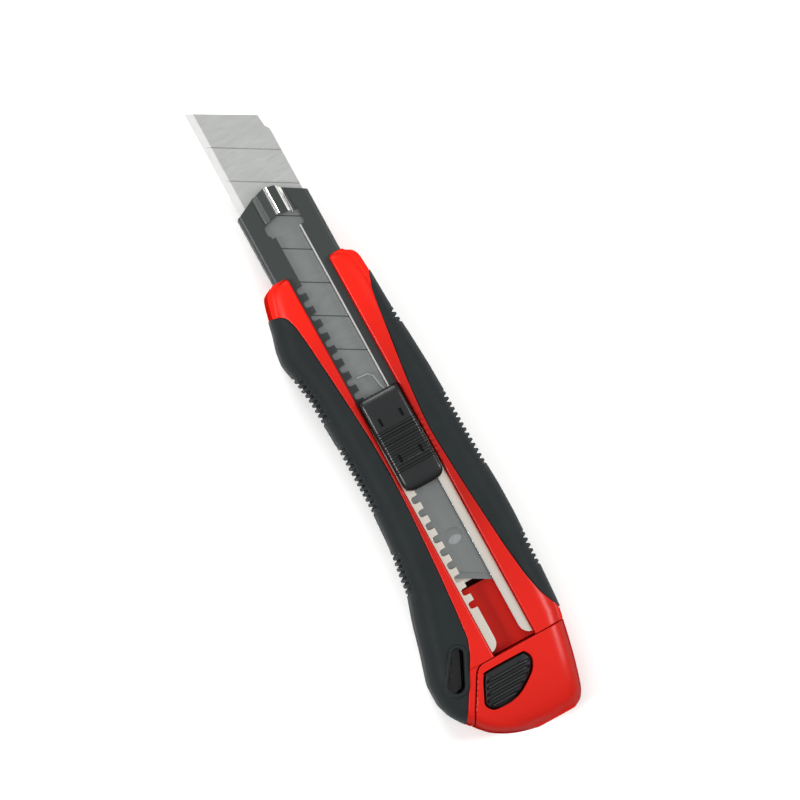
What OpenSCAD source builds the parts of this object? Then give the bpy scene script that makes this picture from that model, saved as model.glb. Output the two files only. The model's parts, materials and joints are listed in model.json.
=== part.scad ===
// Snap-off utility knife with an auto-lock slider and a blade magazine.
// +X points to the blade's tip, +Y to its cutting edge and +Z to the thumb pad.
// The origin is on the resting face, under the middle of the blade channel.

/* [Handle] */
// Length of the handle, from the prongs to the end of the cap
handle_len = 135; // [132:1:165]
// Width of the handle across the tail
handle_w = 42; // [36:0.1:52]
// Height of the handle at its middle
body_h = 19.4; // [19:0.1:24]
// Thickness of the rubber skin over the shells
skin_t = 1.6; // [1.2:0.1:2]
// Wall of the shells' floor and of the cap
wall = 2; // [1.5:0.1:2.4]
// Width of the opening in the top of the upper shell
opening_w = 12.2; // [11.8:0.1:14]
// Radius of the wide end of the lanyard hole
lanyard_r = 2.5; // [2:0.1:3]

/* [End cap] */
// Length of the end cap
cap_len = 22; // [21:0.5:24]
// Gap along the parting line of the cap
cap_gap = 0.15; // [0.1:0.05:0.3]
// Travel of the latch button
button_travel = 1.6; // [1.2:0.1:1.8]
// Gap around the latch button
button_gap = 0.3; // [0.2:0.05:0.5]

/* [Blade] */
// Width of the blade
blade_w = 18; // [16:0.5:18]
// Thickness of the blade
blade_t = 0.5; // [0.4:0.05:0.6]
// Length of the blade along its edge
blade_len = 100; // [90:1:105]
// Length of one snap-off segment
segment_pitch = 10; // [8:0.5:11]
// Number of score lines
score_count = 7; // [5:1:8]
// Distance from the tang's end to its hole
tang_hole_x = 10.8; // [9:0.1:12]
// Radius of the tang hole
tang_hole_r = 2.3; // [2:0.1:2.6]
// How far the blade stands out of the nose
blade_out = 27.1; // [10:0.1:30]

/* [Channel] */
// How far the steel nose stands out of the shells
nose_out = 23.6; // [20:0.1:28]
// Width of the channel outside
channel_w = 20; // [20:0.1:21]
// Height of the channel outside
channel_h = 7.2; // [7.2:0.1:7.6]
// Thickness of the channel's sheet
sheet_t = 0.8; // [0.6:0.05:0.9]
// Width of the slot between the lips
slot_w = 7.1; // [6.6:0.1:7.6]
// How deep the lips lie below the top of the body
lip_depth = 3.6; // [3.2:0.1:4]
// Distance between notches
notch_pitch = 3.9; // [3.2:0.1:4.3]
// Width of a notch
notch_w = 1.9; // [1.8:0.1:2.2]
// Depth of a notch
notch_depth = 1.9; // [1.6:0.1:2.1]
// Notches on each side of the lock
notch_reach = 12; // [8:1:12]

/* [Slider] */
// Length of the thumb pad
pad_len = 27.3; // [26:0.1:29]
// Width of the thumb pad
pad_w = 11.4; // [10.5:0.1:11.6]
// Distance between the pad's ribs
rib_pitch = 1.55; // [1.4:0.05:1.7]
// Number of ribs on the pad
rib_count = 8; // [6:1:8]
// Play of the pad on the slider, each way
pad_play = 0.8; // [0.5:0.1:1]
// Clearance of sliding plates in the channel
slip = 0.1; // [0.08:0.01:0.15]

/* [Screws] */
// Radius of a screw's thread
screw_r = 1; // [0.8:0.1:1.1]
// Radius of a screw's head
screw_head_r = 1.9; // [1.6:0.1:2.2]
// Depth of a screw's head
screw_head_h = 1.4; // [1:0.1:1.6]

/* [Hidden] */
$fn = 48;

far = 400;
over = 0.5;
kx = handle_len / 135;
ky = handle_w / 42;
front = handle_len / 2;
rear = -front;
cap_x = rear + cap_len;

// Heights of the stack, from the lips down
lip_top = body_h - lip_depth;
lip_z = lip_top - sheet_t;
channel_z = lip_top - channel_h;
split_z = channel_z + 1.1;
base_z = channel_z + sheet_t;
plate_t = 0.8;
plate_z = lip_z - slip - plate_t;
blade_z = plate_z - slip - blade_t;
spare_upper_z = blade_z - 2 * slip - blade_t;
spare_lower_z = spare_upper_z - slip - blade_t;
follower_t = 0.7;
follower_z = spare_lower_z - slip - follower_t;

// Places along the knife
nose_x = front + nose_out;
tip_x = nose_x + blade_out;
lean = tan(30);
stud_x = tip_x - lean * blade_w / 2 - blade_len + tang_hole_x;
pad_x = stud_x - 21.1;
pawl_x = stud_x - 7.8;
spare_back = 36.5;
spare_step = 2;
stop_x = tip_x - spare_back + 0.5;
channel_in_w = channel_w - 2 * sheet_t;

// The body's edges and top line, as [x, distance] on a handle of 135 by 42 by 19.4
finger_edge = [[67.5, 11], [66.9, 12.6], [65.8, 13.7], [63.5, 14.4], [59.7, 15.3], [56, 16.1],
    [52, 17.3], [48, 17.8], [44, 17], [36, 15.8], [29, 15.5], [22, 15.2], [2, 15.3], [-8, 15.9],
    [-15, 17.1], [-21, 17.8], [-28, 20.1], [-36, 22.2], [-44, 24.6], [-47, 24.8], [-50, 24.7],
    [-54, 23.5], [-57.5, 21.2], [-60, 19.1], [-62.5, 16.8], [-64.5, 13.8], [-66, 10.6],
    [-67, 7.4], [-67.5, 4.4]];
palm_edge = [[67.5, 9.4], [67, 11.4], [66, 13.3], [64, 14.1], [59, 14.4], [50, 14.7],
    [40, 15.5], [30, 16.1], [22, 16.3], [0, 16.8], [-8, 17.2], [-15, 17.1], [-30, 16.5],
    [-36, 16.2], [-42, 15.8], [-46, 15], [-50, 14.2], [-55, 13.1], [-60, 11.8], [-64, 10.6],
    [-66, 9.4], [-67, 8.2], [-67.5, 6.6]];
top_line = [[67.5, 18], [60, 18.4], [40, 19], [10, 19.4], [-30, 19.4], [-46, 19.1], [-56, 18.3],
    [-62, 17], [-66, 15], [-67.5, 13]];
// Steps of the rounded edges, as [height as a share of the whole, distance in from the edge]
low_steps = [[0, 2.4], [0.03, 1.2], [0.08, 0.4], [0.16, 0]];
high_steps = [[0.66, 0], [0.76, 0.5], [0.84, 1.3], [0.9, 2.4], [0.96, 4], [1, 6]];

// Lines where the rubber meets the red shell on top
finger_line = [[-59, 30], [-59, 21.5], [-55, 19.3], [-50, 16.3], [-45, 13.5], [-42, 11.7], [-38, 10.1],
    [-30, 9.3], [-20, 8.5], [-10, 7.9], [0, 7.4], [10, 7.1], [20, 7.4], [30, 8.1], [40, 8.9],
    [50, 9.8], [55, 10.4], [58, 11.3], [59.6, 12.8], [60, 14.4], [60, 30]];
palm_line = [[-44, 30], [-42, 15.6], [-36, 12.7], [-30, 11.3], [-20, 10.1], [-10, 9.3], [0, 8.5],
    [10, 7.9], [15, 7.7], [20, 7.9], [30, 8.8], [40, 10.1], [50, 11.5], [55, 12.4], [58.5, 13.5],
    [59.5, 14.4], [59.5, 30]];

screw_at = [[42 * kx, 12.9 * ky], [42 * kx, -11.9 * ky], [-14 * kx, 12.7 * ky], [-14 * kx, -12.7 * ky]];
pin_at = [-6, 50];
pin_r = 1.25;
latch_x = cap_x + 5.4;
latch_z = 3.7;
latch_t = 1;
strap_z = channel_z - slip - 1.2;
hook_top = strap_z - 0.3;
catch_z = hook_top - button_travel + 0.2;

function edge(table, x) = lookup(x / kx, table) * ky;
function soft_edge(table, x) = let (d = min(2, (front - abs(x)) / 2))
    (edge(table, x - d) + 2 * edge(table, x) + edge(table, x + d)) / 4;
function top_at(x) = lookup(x / kx, top_line) * body_h / 19.4;

end_steps = [0, 0.5, 1.4, 2.8, 5, 8];
middle_count = 32;
stations = concat([for (d = end_steps) rear + d],
    [for (i = [1:middle_count - 1]) rear + 8 + i * (handle_len - 16) / middle_count],
    [for (i = [len(end_steps) - 1:-1:0]) front - end_steps[i]]);

// The body's outline seen from above, inset all round, where the body is at least as high as z
function outline(inset, z) = let (
        at = [for (x = stations) if (abs(x) <= front - inset * 0.6 && top_at(x) >= z - 0.4
            && soft_edge(finger_edge, x) + soft_edge(palm_edge, x) > 2 * inset + 1) x])
    concat([for (x = at) [x, inset - soft_edge(palm_edge, x)]],
        [for (i = [len(at) - 1:-1:0]) [at[i], soft_edge(finger_edge, at[i]) - inset]]);

// Half of the body as a stack of prisms, each a step narrower towards the face
module body_half(skin, upper) {
    h = body_h - 2 * skin;
    for (s = upper ? high_steps : low_steps) {
        z = skin + s[0] * h;
        translate([0, 0, upper ? split_z : z]) linear_extrude(upper ? z - split_z : split_z - z)
            polygon(outline(skin + s[1], upper ? z + skin : 0));
    }
}

function placed(line, side) = [for (p = line) [p[0] * kx, side * p[1] * ky]];

module finger_zone() {
    translate([0, 0, -far / 2]) linear_extrude(far) polygon(placed(finger_line, 1));
}

module palm_zone() {
    translate([0, 0, -far / 2]) linear_extrude(far) polygon(placed(palm_line, -1));
}

// Everything behind the cap's parting line, moved forward by gap
module cap_zone(gap) {
    line = [[0, -40], [0, 10.6], [-0.8, 11.7], [-14, 19.4], [-40, 34.6], [-40, -40]];
    translate([cap_x + gap, 0, -far / 2]) linear_extrude(far) polygon([for (p = line) [p[0], p[1] * ky]]);
}

module lanyard_hole() {
    wide = [-47.2 * kx, 18.4 * ky];
    narrow = [-40.2 * kx, 14.3 * ky];
    narrow_r = lanyard_r * 0.72;
    run = norm(wide - narrow);
    turn = atan2(wide[1] - narrow[1], wide[0] - narrow[0]);
    translate([narrow[0], narrow[1], -over]) rotate(turn) {
        cylinder(r = narrow_r, h = far);
        translate([run, 0, 0]) cylinder(r = lanyard_r, h = far);
        linear_extrude(far)
            polygon([[0, -narrow_r], [run, -lanyard_r], [run, lanyard_r], [0, narrow_r]]);
    }
}

// The space for the channel and the slider, and the opening above them
module tunnel() {
    translate([cap_x - over, -channel_w / 2 - slip, channel_z - slip])
        cube([far, channel_w + 2 * slip, channel_h + 2 * slip]);
    translate([cap_x - over, -opening_w / 2, channel_z]) cube([far, opening_w, far]);
}

module screw_holes(r, z, h) {
    for (p = screw_at) translate([p[0], p[1], z]) cylinder(r = r, h = h);
}

module pin_holes(z, top) {
    for (x = pin_at) translate([x * kx, 0, z]) cylinder(r = pin_r, h = top - z);
}

module red_half(upper) {
    difference() {
        union() {
            difference() {
                body_half(0, upper);
                finger_zone();
                palm_zone();
            }
            body_half(skin_t, upper);
        }
        cap_zone(cap_gap);
        lanyard_hole();
        tunnel();
    }
}

// The strap under the channel's open rear, which joins the two sides of the upper shell
module floor_strap() {
    w = channel_w + 2 * slip + 3;
    translate([cap_x + 1.5, -w / 2, strap_z]) cube([17.5, w, split_z - strap_z + 0.01]);
}

module upper_shell() {
    color("#e8281c") difference() {
        union() {
            red_half(true);
            difference() {
                floor_strap();
                tunnel();
            }
        }
        screw_holes(screw_r, split_z - over, 4 + over);
    }
}

module lower_shell() {
    half = 8.8;
    color("#e8281c") difference() {
        union() {
            difference() {
                red_half(false);
                floor_strap();
                // lightening pockets under the channel, with cross ribs left between them
                translate([cap_x - over, -half, wall])
                    cube([latch_x - cap_x + 15.2 + over, 2 * half, far]);
                for (i = [0:3])
                    translate([latch_x + 17 + i * 20 * kx, -half, wall]) cube([18 * kx, 2 * half, far]);
            }
            // the bar that the cap's hook catches, and the posts under the channel's pins
            translate([latch_x, -half - 0.1, catch_z]) cube([1.2, 2 * half + 0.2, strap_z - catch_z]);
            for (x = pin_at)
                translate([x * kx, 0, wall - 0.1]) cylinder(r = 3.2, h = channel_z - slip - wall + 0.1);
        }
        pin_holes(wall + 2, body_h);
        screw_holes(screw_r + 0.15, -over, split_z + 2 * over);
        screw_holes(screw_head_r + 0.2, -over, screw_head_h + 0.2 + over);
    }
}

module grip_half(upper) {
    difference() {
        intersection() {
            body_half(0, upper);
            children();
        }
        body_half(skin_t, upper);
        lanyard_hole();
        tunnel();
        cap_zone(cap_gap);
        screw_holes(screw_head_r + 0.3, -over, wall + over);
        screw_holes(screw_r + 0.2, -over, split_z + 4.5);
    }
}

module upper_finger_grip() {
    color("#32383a") grip_half(true) finger_zone();
}

module lower_finger_grip() {
    color("#32383a") grip_half(false) finger_zone();
}

module upper_palm_grip() {
    color("#32383a") grip_half(true) palm_zone();
}

module lower_palm_grip() {
    color("#32383a") grip_half(false) palm_zone();
}

// Outline of the steel nose seen from above
nose_line = [[nose_x - 4.3, channel_w / 2], [nose_x - 3.8, 9.2], [nose_x - 1.1, 4],
    [nose_x, 0.5], [nose_x - 0.6, -2.5], [nose_x - 2.1, -4.2], [nose_x - 5.6, -channel_w / 2]];

module nose_trim() {
    translate([0, 0, -over]) linear_extrude(far)
        polygon(concat(nose_line, [[-far, -channel_w], [-far, channel_w], [nose_x - 4.3, channel_w]]));
}

// A prism between the blade-slanted line through x and everything ahead of it
module ahead_of(x, h) {
    linear_extrude(h) polygon([[x, blade_w / 2], [x + lean, blade_w / 2 + 1], [far, blade_w / 2 + 1],
        [far, -blade_w / 2 - 1], [x - lean * (blade_w + 1), -blade_w / 2 - 1]]);
}

module blade_channel() {
    rear_x = cap_x + 0.6;
    long = nose_x - rear_x;
    lip_end = rear_x + 0.7;
    color("#b9b6b0") difference() {
        translate([rear_x, -channel_w / 2, channel_z]) cube([long, channel_w, channel_h]);
        // inside, under the lips
        translate([rear_x - over, -channel_in_w / 2, base_z]) cube([far, channel_in_w, lip_z - base_z]);
        // slot between the lips, and the window at its front
        translate([rear_x - over, -slot_w / 2, lip_z - over]) cube([nose_x - rear_x + 1, slot_w, 3]);
        translate([nose_x - 12.9, -5.1, lip_z - over]) cube([5.1, 10.2, 3]);
        // the base is open behind the magazine
        translate([rear_x - over, -channel_in_w / 2, channel_z - over])
            cube([cap_x + 20.5 - rear_x + over, channel_in_w, sheet_t + 2 * over]);
        // pointed rear ends of the lips
        for (s = [-1, 1]) translate([0, 0, lip_z - over]) linear_extrude(3)
            polygon([[rear_x - 1, s * (slot_w / 2 - 1)], [lip_end + 2, s * (slot_w / 2 - 1)],
                [lip_end + 2, s * slot_w / 2], [lip_end, s * 6.1], [lip_end, s * 8.4],
                [rear_x - 1, s * 8.4]]);
        for (i = [-notch_reach:notch_reach])
            translate([pawl_x + i * notch_pitch - notch_w / 2, slot_w / 2 - over, lip_z - over])
                cube([notch_w, notch_depth + over, 3]);
        pin_holes(channel_z - over, base_z + over);
        difference() {
            translate([nose_x - 20, -channel_w, channel_z - over])
                cube([40, 2 * channel_w, channel_h + 1]);
            nose_trim();
        }
    }
    // the base steps up at the nose and stops the spare blades
    color("#b9b6b0") intersection() {
        translate([0, -channel_in_w / 2 - 0.1, base_z - 0.2])
            cube([far, channel_in_w + 0.2, spare_upper_z + blade_t + slip - base_z + 0.2]);
        translate([0, 0, channel_z]) ahead_of(stop_x, channel_h);
        nose_trim();
    }
}

module nose_bridge() {
    z = lip_top;
    arch = [[-4.6, 0], [-4.6, 0.5], [-3.3, 0.6], [-2.6, 1.5], [-1.2, 2], [1.2, 2], [2.6, 1.5], [3.3, 0.6],
        [4.6, 0.5], [4.6, 0], [3.5, 0], [2.2, 1], [1, 1.4], [-1, 1.4], [-2.2, 1], [-3.5, 0]];
    color("#c9c5bd") intersection() {
        translate([nose_x - 7.8, 0, z]) rotate([90, 0, 90]) linear_extrude(9) polygon(arch);
        nose_trim();
    }
}

module channel_pins() {
    color("#a8a8a8") for (x = pin_at)
        translate([x * kx, 0, wall + 2]) cylinder(r = pin_r, h = base_z - wall - 2.05);
}

module shell_screws() {
    color("#8d8f92") for (p = screw_at) translate([p[0], p[1], 0.1]) difference() {
        union() {
            cylinder(r = screw_head_r, h = screw_head_h);
            cylinder(r = screw_r, h = split_z + 3.4);
        }
        // cross recess
        for (a = [0, 90]) rotate(a) translate([-1.1, -0.25, -over]) cube([2.2, 0.5, 0.8 + over]);
    }
}

// A blade whose cutting edge ends at x, lying at height z
module snap_blade(x, z) {
    half = blade_w / 2;
    run = lean * blade_w;
    bevel = 2;
    side = blade_t / 2;
    translate([x, 0, z]) difference() {
        intersection() {
            linear_extrude(blade_t) polygon([[0, half], [-run + 1, -half + 1.2], [-run - 2.3, -half + 0.9],
                [-run - 3.6, -half], [-blade_len - run, -half], [-blade_len, half]]);
            translate([-blade_len - run - 1, 0, side]) rotate([90, 0, 90]) linear_extrude(blade_len + run + 2)
                polygon([[-half - 1, -side], [half - bevel, -side], [half, -0.02], [half, 0.02],
                    [half - bevel, side], [-half - 1, side]]);
        }
        for (i = [1:score_count], top = [0, 1])
            translate([-i * segment_pitch, half, top * blade_t]) rotate([0, 0, -120])
                rotate([45, 0, 0]) translate([-1, -0.1, -0.1]) cube([blade_w / cos(30) + 2, 0.2, 0.2]);
        translate([-blade_len - run / 2 + tang_hole_x, 0, -over]) cylinder(r = tang_hole_r, h = 2);
    }
}

module blade() {
    color("#b4b4b4") snap_blade(tip_x, blade_z);
}

module spare_blade_upper() {
    color("#b4b4b4") snap_blade(tip_x - spare_back, spare_upper_z);
}

module spare_blade_lower() {
    color("#b4b4b4") snap_blade(tip_x - spare_back - spare_step, spare_lower_z);
}

module magazine_follower() {
    x0 = cap_x + 26;
    x1 = stop_x - 14;
    color("#9a9c9e") difference() {
        translate([x0, -blade_w / 2, follower_z]) cube([x1 - x0, blade_w, follower_t]);
        for (x = [x0 + 10, x1 - 18]) translate([x, -5, follower_z - over]) cube([8, 10, 3]);
    }
}

// A shallow bow of spring strip between the channel's base and the follower
module magazine_spring() {
    strip = 0.3;
    half = 24;
    rise = follower_z - base_z - strip - 0.06;
    steps = 12;
    function bow(u) = rise * (1 - u * u);
    line = concat([for (i = [-steps:steps]) [half * i / steps, bow(i / steps)]],
        [for (i = [steps:-1:-steps]) [half * i / steps, bow(i / steps) + strip]]);
    color("#8f9396") translate([22 * kx, 5, base_z + 0.02]) rotate([90, 0, 0])
        linear_extrude(10) polygon(line);
}

module carrier_plate() {
    color("#a9acaf") difference() {
        translate([pad_x + 1.3, -channel_in_w / 2 + slip, plate_z])
            cube([pad_len - 2.4, channel_in_w - 2 * slip, plate_t]);
        translate([stud_x, 0, plate_z - over]) cylinder(r = tang_hole_r - 0.1, h = 3);
    }
}

module blade_stud() {
    color("#c6c6c4") translate([stud_x, 0, 0]) {
        translate([0, 0, blade_z + 0.05])
            cylinder(r = tang_hole_r - 0.1, h = plate_z + plate_t - blade_z - 0.05);
        translate([0, 0, plate_z + plate_t]) cylinder(r = stud_head_r, h = 0.6);
    }
}

// The lock's pocket runs from pocket_x to the slider's front end
pocket_x = pawl_x - 2.1;
pocket_y = -3;
pawl_top = lip_top + 0.7;
stud_head_r = 2.4;

module slider_body() {
    x0 = pad_x + 2.3;
    x1 = pad_x + pad_len - 2.3;
    z = plate_z + plate_t;
    w = slot_w - 2 * slip;
    color("#26292b") difference() {
        translate([x0, -w / 2, z]) cube([x1 - x0, w, lip_top + 2.2 - z]);
        translate([pocket_x, pocket_y, z + 0.05]) cube([4.2, w, pawl_top + 0.1 - z]);
        translate([pocket_x, pocket_y, z + 0.05]) cube([far, 1.1, pawl_top + 0.1 - z]);
        translate([stud_x, 0, z - over]) cylinder(r = stud_head_r + 0.1, h = 0.7 + over);
    }
}

module lock_pawl() {
    body_y = slot_w / 2 - 0.35;
    tooth_w = notch_w - 0.3;
    z = lip_z + 0.1;
    color("#bfc0c0") {
        translate([pawl_x - 1.9, -0.2, z]) cube([3.8, body_y + 0.2, pawl_top - z]);
        translate([pawl_x - tooth_w / 2, body_y - 0.1, z]) cube([tooth_w, notch_depth + 0.1, sheet_t]);
    }
}

// Leaf spring: a bow behind the pawl, a straight run along the slider and a bent tongue in front of it
module lock_spring() {
    strip = 0.35;
    y = pocket_y + 0.1;
    x1 = pad_x + pad_len;
    line = [[pocket_x + 0.2, y], [pawl_x - 1, y + 1.4], [pawl_x, y + 2.2], [pawl_x + 1, y + 1.4],
        [pawl_x + 2.4, y], [x1 - 1, y], [x1 + 1.5, y + 0.8], [x1 + 4.4, y + 1.3], [x1 + 5.6, y + 2.6],
        [x1 + 5.9, y + 5.6]];
    color("#d8d8d4") translate([0, 0, lip_z + 0.1]) linear_extrude(0.8) polygon(concat(line,
        [for (i = [len(line) - 1:-1:0]) line[i] + (i > 7 ? [-strip, 0] : [0, strip])]));
}

module thumb_pad() {
    z0 = lip_top + 0.2;
    h = body_h + 1.2 - z0;
    rib_h = 0.8;
    ribs_x = 5.9;
    crown = [[0, 0], [pad_len, 0], [pad_len, h - 1.6], [pad_len - 1.2, h - 0.5], [pad_len - 3, h],
        [3, h], [1, h - 0.8], [0, h - 2.2]];
    r = 2.6;
    color("#2b2e30") translate([pad_x, 0, z0]) difference() {
        intersection() {
            union() {
                translate([0, pad_w / 2, 0]) rotate([90, 0, 0]) linear_extrude(pad_w) polygon(crown);
                for (i = [0:rib_count - 1])
                    translate([ribs_x + i * rib_pitch, -pad_w / 2 + 0.6, h - over])
                        cube([rib_pitch * 0.52, pad_w - 1.2, rib_h + over]);
            }
            union() {
                translate([r, -pad_w / 2, -over]) cube([pad_len - r, pad_w, far]);
                translate([0, -pad_w / 2 + r, -over]) cube([r + over, pad_w - 2 * r, far]);
                for (s = [-1, 1]) translate([r, s * (pad_w / 2 - r), -over]) cylinder(r = r, h = far);
            }
        }
        // pocket over the slider
        translate([2.3 - pad_play - 0.1, -slot_w / 2 - slip, -over])
            cube([pad_len - 4.6 + 2 * pad_play + 0.2, slot_w + 2 * slip, 2.2 + over]);
        // windows of the four snap hooks
        for (x = [9.1, 19.8], s = [-1, 1])
            translate([x - 1.1, s * 3.05 - 0.4, h - 0.9]) cube([2.2, 0.8, 3]);
    }
}

button_line = [[-12.1, 8.3], [-11.8, 12.3], [-10.5, 13.8], [-9.5, 14.1], [-8, 13.3], [-4.5, 11.6],
    [-3, 10.6], [-2.5, 9.8], [-2.5, -0.2], [-2.8, -1.2], [-4, -2.1], [-5.5, -2], [-7.5, -0.7],
    [-9.5, 1.8], [-11.5, 4.8]];
button_mid = [-7, 5.5];
button_top = top_at(cap_x - 7) + 0.1;
flange_z = 14.6 / 19.4 * body_h;
spring_at = [cap_x - 7.5, 6];

// The button's outline, grown about its middle
module button_plan(grow) {
    polygon([for (p = button_line) let (v = p - button_mid)
        [cap_x, 0] + button_mid + v * (1 + grow / norm(v))]);
}

module end_cap() {
    roof_z = flange_z + 1.3;
    color("#e8281c") {
        difference() {
            intersection() {
                union() {
                    body_half(0, true);
                    body_half(0, false);
                }
                cap_zone(0);
            }
            // hollow inside
            translate([cap_x, 0, wall]) linear_extrude(roof_z - wall)
                polygon([[-1.8, -11 * ky], [-1.8, 9.6 * ky],
                [-2.4, 10.4 * ky], [-12.5, 16.2 * ky], [-14.8, 12 * ky], [-15.8, 5], [-15.8, -5],
                [-14.5, -8.2 * ky], [-8, -10.4 * ky]]);
            translate([0, 0, flange_z]) linear_extrude(far) button_plan(button_gap);
            // window for the latch arm
            translate([cap_x - 3, -3, wall]) cube([4, 6, latch_z + latch_t + 0.4 - wall]);
        }
        // rails that guide the cap in the lower shell
        for (s = [-1, 1]) translate([cap_x - 2.2, s * 6.4 - 2.2, wall + 0.1]) cube([7, 4.4, 4]);
        translate([spring_at[0], spring_at[1], wall - 0.1]) cylinder(r = 1.6, h = 8);
    }
}

module cap_button() {
    ribs = 5;
    color("#2b2e30") {
        difference() {
            translate([0, 0, flange_z]) linear_extrude(button_top - flange_z) button_plan(0);
            for (i = [0:ribs - 1])
                translate([cap_x - 11.4 + i * 1.6, -4, button_top - 0.7]) cube([0.7, 20, 2]);
        }
        // lugs that hold the button under the cap's roof
        translate([cap_x - 6.5, -3.8, flange_z]) cube([3, 4, 1.2]);
        translate([cap_x - 13.4, 6, flange_z]) cube([3, 5, 1.2]);
        // stem, arm and hook
        translate([cap_x - 4.6, -1.9, latch_z]) cube([1.8, 4.2, flange_z - latch_z + 0.5]);
        translate([cap_x - 4.6, -2.4, latch_z]) cube([latch_x - cap_x + 7.5, 4.8, latch_t]);
        translate([latch_x + 1.4, -2.4, latch_z]) cube([1.5, 4.8, hook_top - latch_z]);
    }
}

// A closed skin over a row of rings that have the same number of points
module loft(rings) {
    n = len(rings[0]);
    last = len(rings) - 1;
    points = [for (r = rings) each r];
    sides = [for (i = [0:last - 1], j = [0:n - 1]) let (
            a = i * n + j, b = i * n + (j + 1) % n, c = a + n, d = b + n)
        each [[a, b, c], [b, d, c]]];
    polyhedron(points, concat(sides, [[for (j = [n - 1:-1:0]) j], [for (j = [0:n - 1]) last * n + j]]));
}

// Coil spring of round wire standing on z
module coil(r, wire, height, turns) {
    around = 6;
    per_turn = 14;
    count = turns * per_turn;
    loft([for (i = [0:count]) let (a = 360 * i / per_turn, z = wire + (height - 2 * wire) * i / count)
        [for (j = [0:around - 1]) let (b = 360 * j / around)
            [(r + wire * cos(b)) * cos(a), (r + wire * cos(b)) * sin(a), z + wire * sin(b)]]]);
}

module button_spring() {
    color("#9fa3a6") translate([spring_at[0], spring_at[1], wall + 0.02])
        coil(2.3, 0.25, flange_z - wall - 0.04, 6);
}

upper_shell();
lower_shell();
upper_finger_grip();
lower_finger_grip();
upper_palm_grip();
lower_palm_grip();
blade_channel();
nose_bridge();
channel_pins();
shell_screws();
blade();
spare_blade_upper();
spare_blade_lower();
magazine_follower();
magazine_spring();
carrier_plate();
blade_stud();
slider_body();
lock_spring();
lock_pawl();
thumb_pad();
end_cap();
cap_button();
button_spring();
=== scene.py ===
import json
import math

import bmesh
import bpy
import numpy as np
from mathutils import Matrix, Vector


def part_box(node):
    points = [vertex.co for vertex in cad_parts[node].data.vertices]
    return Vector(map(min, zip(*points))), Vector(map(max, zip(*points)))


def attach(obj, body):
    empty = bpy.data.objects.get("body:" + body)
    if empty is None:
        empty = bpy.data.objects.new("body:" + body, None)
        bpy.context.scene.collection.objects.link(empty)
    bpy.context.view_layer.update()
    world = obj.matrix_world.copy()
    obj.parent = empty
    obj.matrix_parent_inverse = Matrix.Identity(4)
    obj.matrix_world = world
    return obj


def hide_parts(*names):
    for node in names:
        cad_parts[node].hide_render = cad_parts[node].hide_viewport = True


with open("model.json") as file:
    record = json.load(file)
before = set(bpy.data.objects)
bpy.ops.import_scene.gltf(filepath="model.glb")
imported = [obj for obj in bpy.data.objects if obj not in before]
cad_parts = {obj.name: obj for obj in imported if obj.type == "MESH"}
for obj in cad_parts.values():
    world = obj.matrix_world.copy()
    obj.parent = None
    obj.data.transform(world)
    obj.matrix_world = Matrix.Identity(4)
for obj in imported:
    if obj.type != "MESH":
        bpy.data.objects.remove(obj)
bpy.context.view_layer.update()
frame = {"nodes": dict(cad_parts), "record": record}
print("frame loaded:", len(frame["nodes"]), "nodes")

mm = 0.001
bodyOf = {node: body for body, nodes in frame["record"]["behaviour"]["bodies"].items() for node in nodes}


def boxMm(node):
    low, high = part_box(node)
    return np.array(low) / mm, np.array(high) / mm


meshing = {"weld": 0.0005, "smoothBelow": 35, "cutterSmoothBelow": 30}


# a mesh from points in millimetres, which rides on the body of its node
def makePiece(name, shape, node, material, replaces=(), sharpAngle=meshing["smoothBelow"]):
    mesh = bpy.data.meshes.new(name)
    mesh.from_pydata([tuple(p) for p in np.asarray(shape.points, float) * mm], [], shape.faces)
    piece = bpy.data.objects.new(name, mesh)
    bpy.context.scene.collection.objects.link(piece)
    tidyMesh(mesh, sharpAngle)
    mesh.materials.append(material)
    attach(piece, bodyOf[node])
    if replaces:
        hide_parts(*replaces)
    return piece


# welds doubled points, turns the faces outwards and marks the sharp edges
def tidyMesh(mesh, sharpAngle):
    work = bmesh.new()
    work.from_mesh(mesh)
    bmesh.ops.remove_doubles(work, verts=work.verts, dist=meshing["weld"] * mm)
    bmesh.ops.recalc_face_normals(work, faces=work.faces)
    for edge in work.edges:
        edge.smooth = len(edge.link_faces) == 2 and edge.calc_face_angle(0) < math.radians(sharpAngle)
    for face in work.faces:
        face.smooth = True
    work.to_mesh(mesh)
    work.free()


# a closed skin over rings of points that all have the same count
def skinFaces(ringCount, pointCount, first=0):
    faces = []
    for i in range(ringCount - 1):
        for j in range(pointCount):
            a = first + i * pointCount + j
            b = first + i * pointCount + (j + 1) % pointCount
            faces.append((a, b, b + pointCount, a + pointCount))
    faces.append(tuple(first + j for j in reversed(range(pointCount))))
    faces.append(tuple(first + (ringCount - 1) * pointCount + j for j in range(pointCount)))
    return faces


# collects several closed skins that make one piece
class Shape:
    def __init__(self):
        self.points = []
        self.faces = []

    def addRings(self, rings):
        rings = [np.asarray(r, float) for r in rings]
        self.faces += skinFaces(len(rings), len(rings[0]), len(self.points))
        for ring in rings:
            self.points += list(ring)
        return self

    # rings whose last one joins the first
    def addLoop(self, rings):
        first, count = len(self.points), len(rings[0])
        for i in range(len(rings)):
            a = first + i * count
            b = first + (i + 1) % len(rings) * count
            for j in range(count):
                k = (j + 1) % count
                self.faces.append((a + j, a + k, b + k, b + j))
        for ring in rings:
            self.points += list(ring)
        return self

    def addPrism(self, outline, bottom, top):
        outline = np.asarray(outline, float)
        return self.addRings([np.c_[outline, np.full(len(outline), z)] for z in (bottom, top)])

    def addBox(self, low, high):
        (x0, y0, z0), (x1, y1, z1) = low, high
        return self.addPrism([(x0, y0), (x1, y0), (x1, y1), (x0, y1)], z0, z1)


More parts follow.
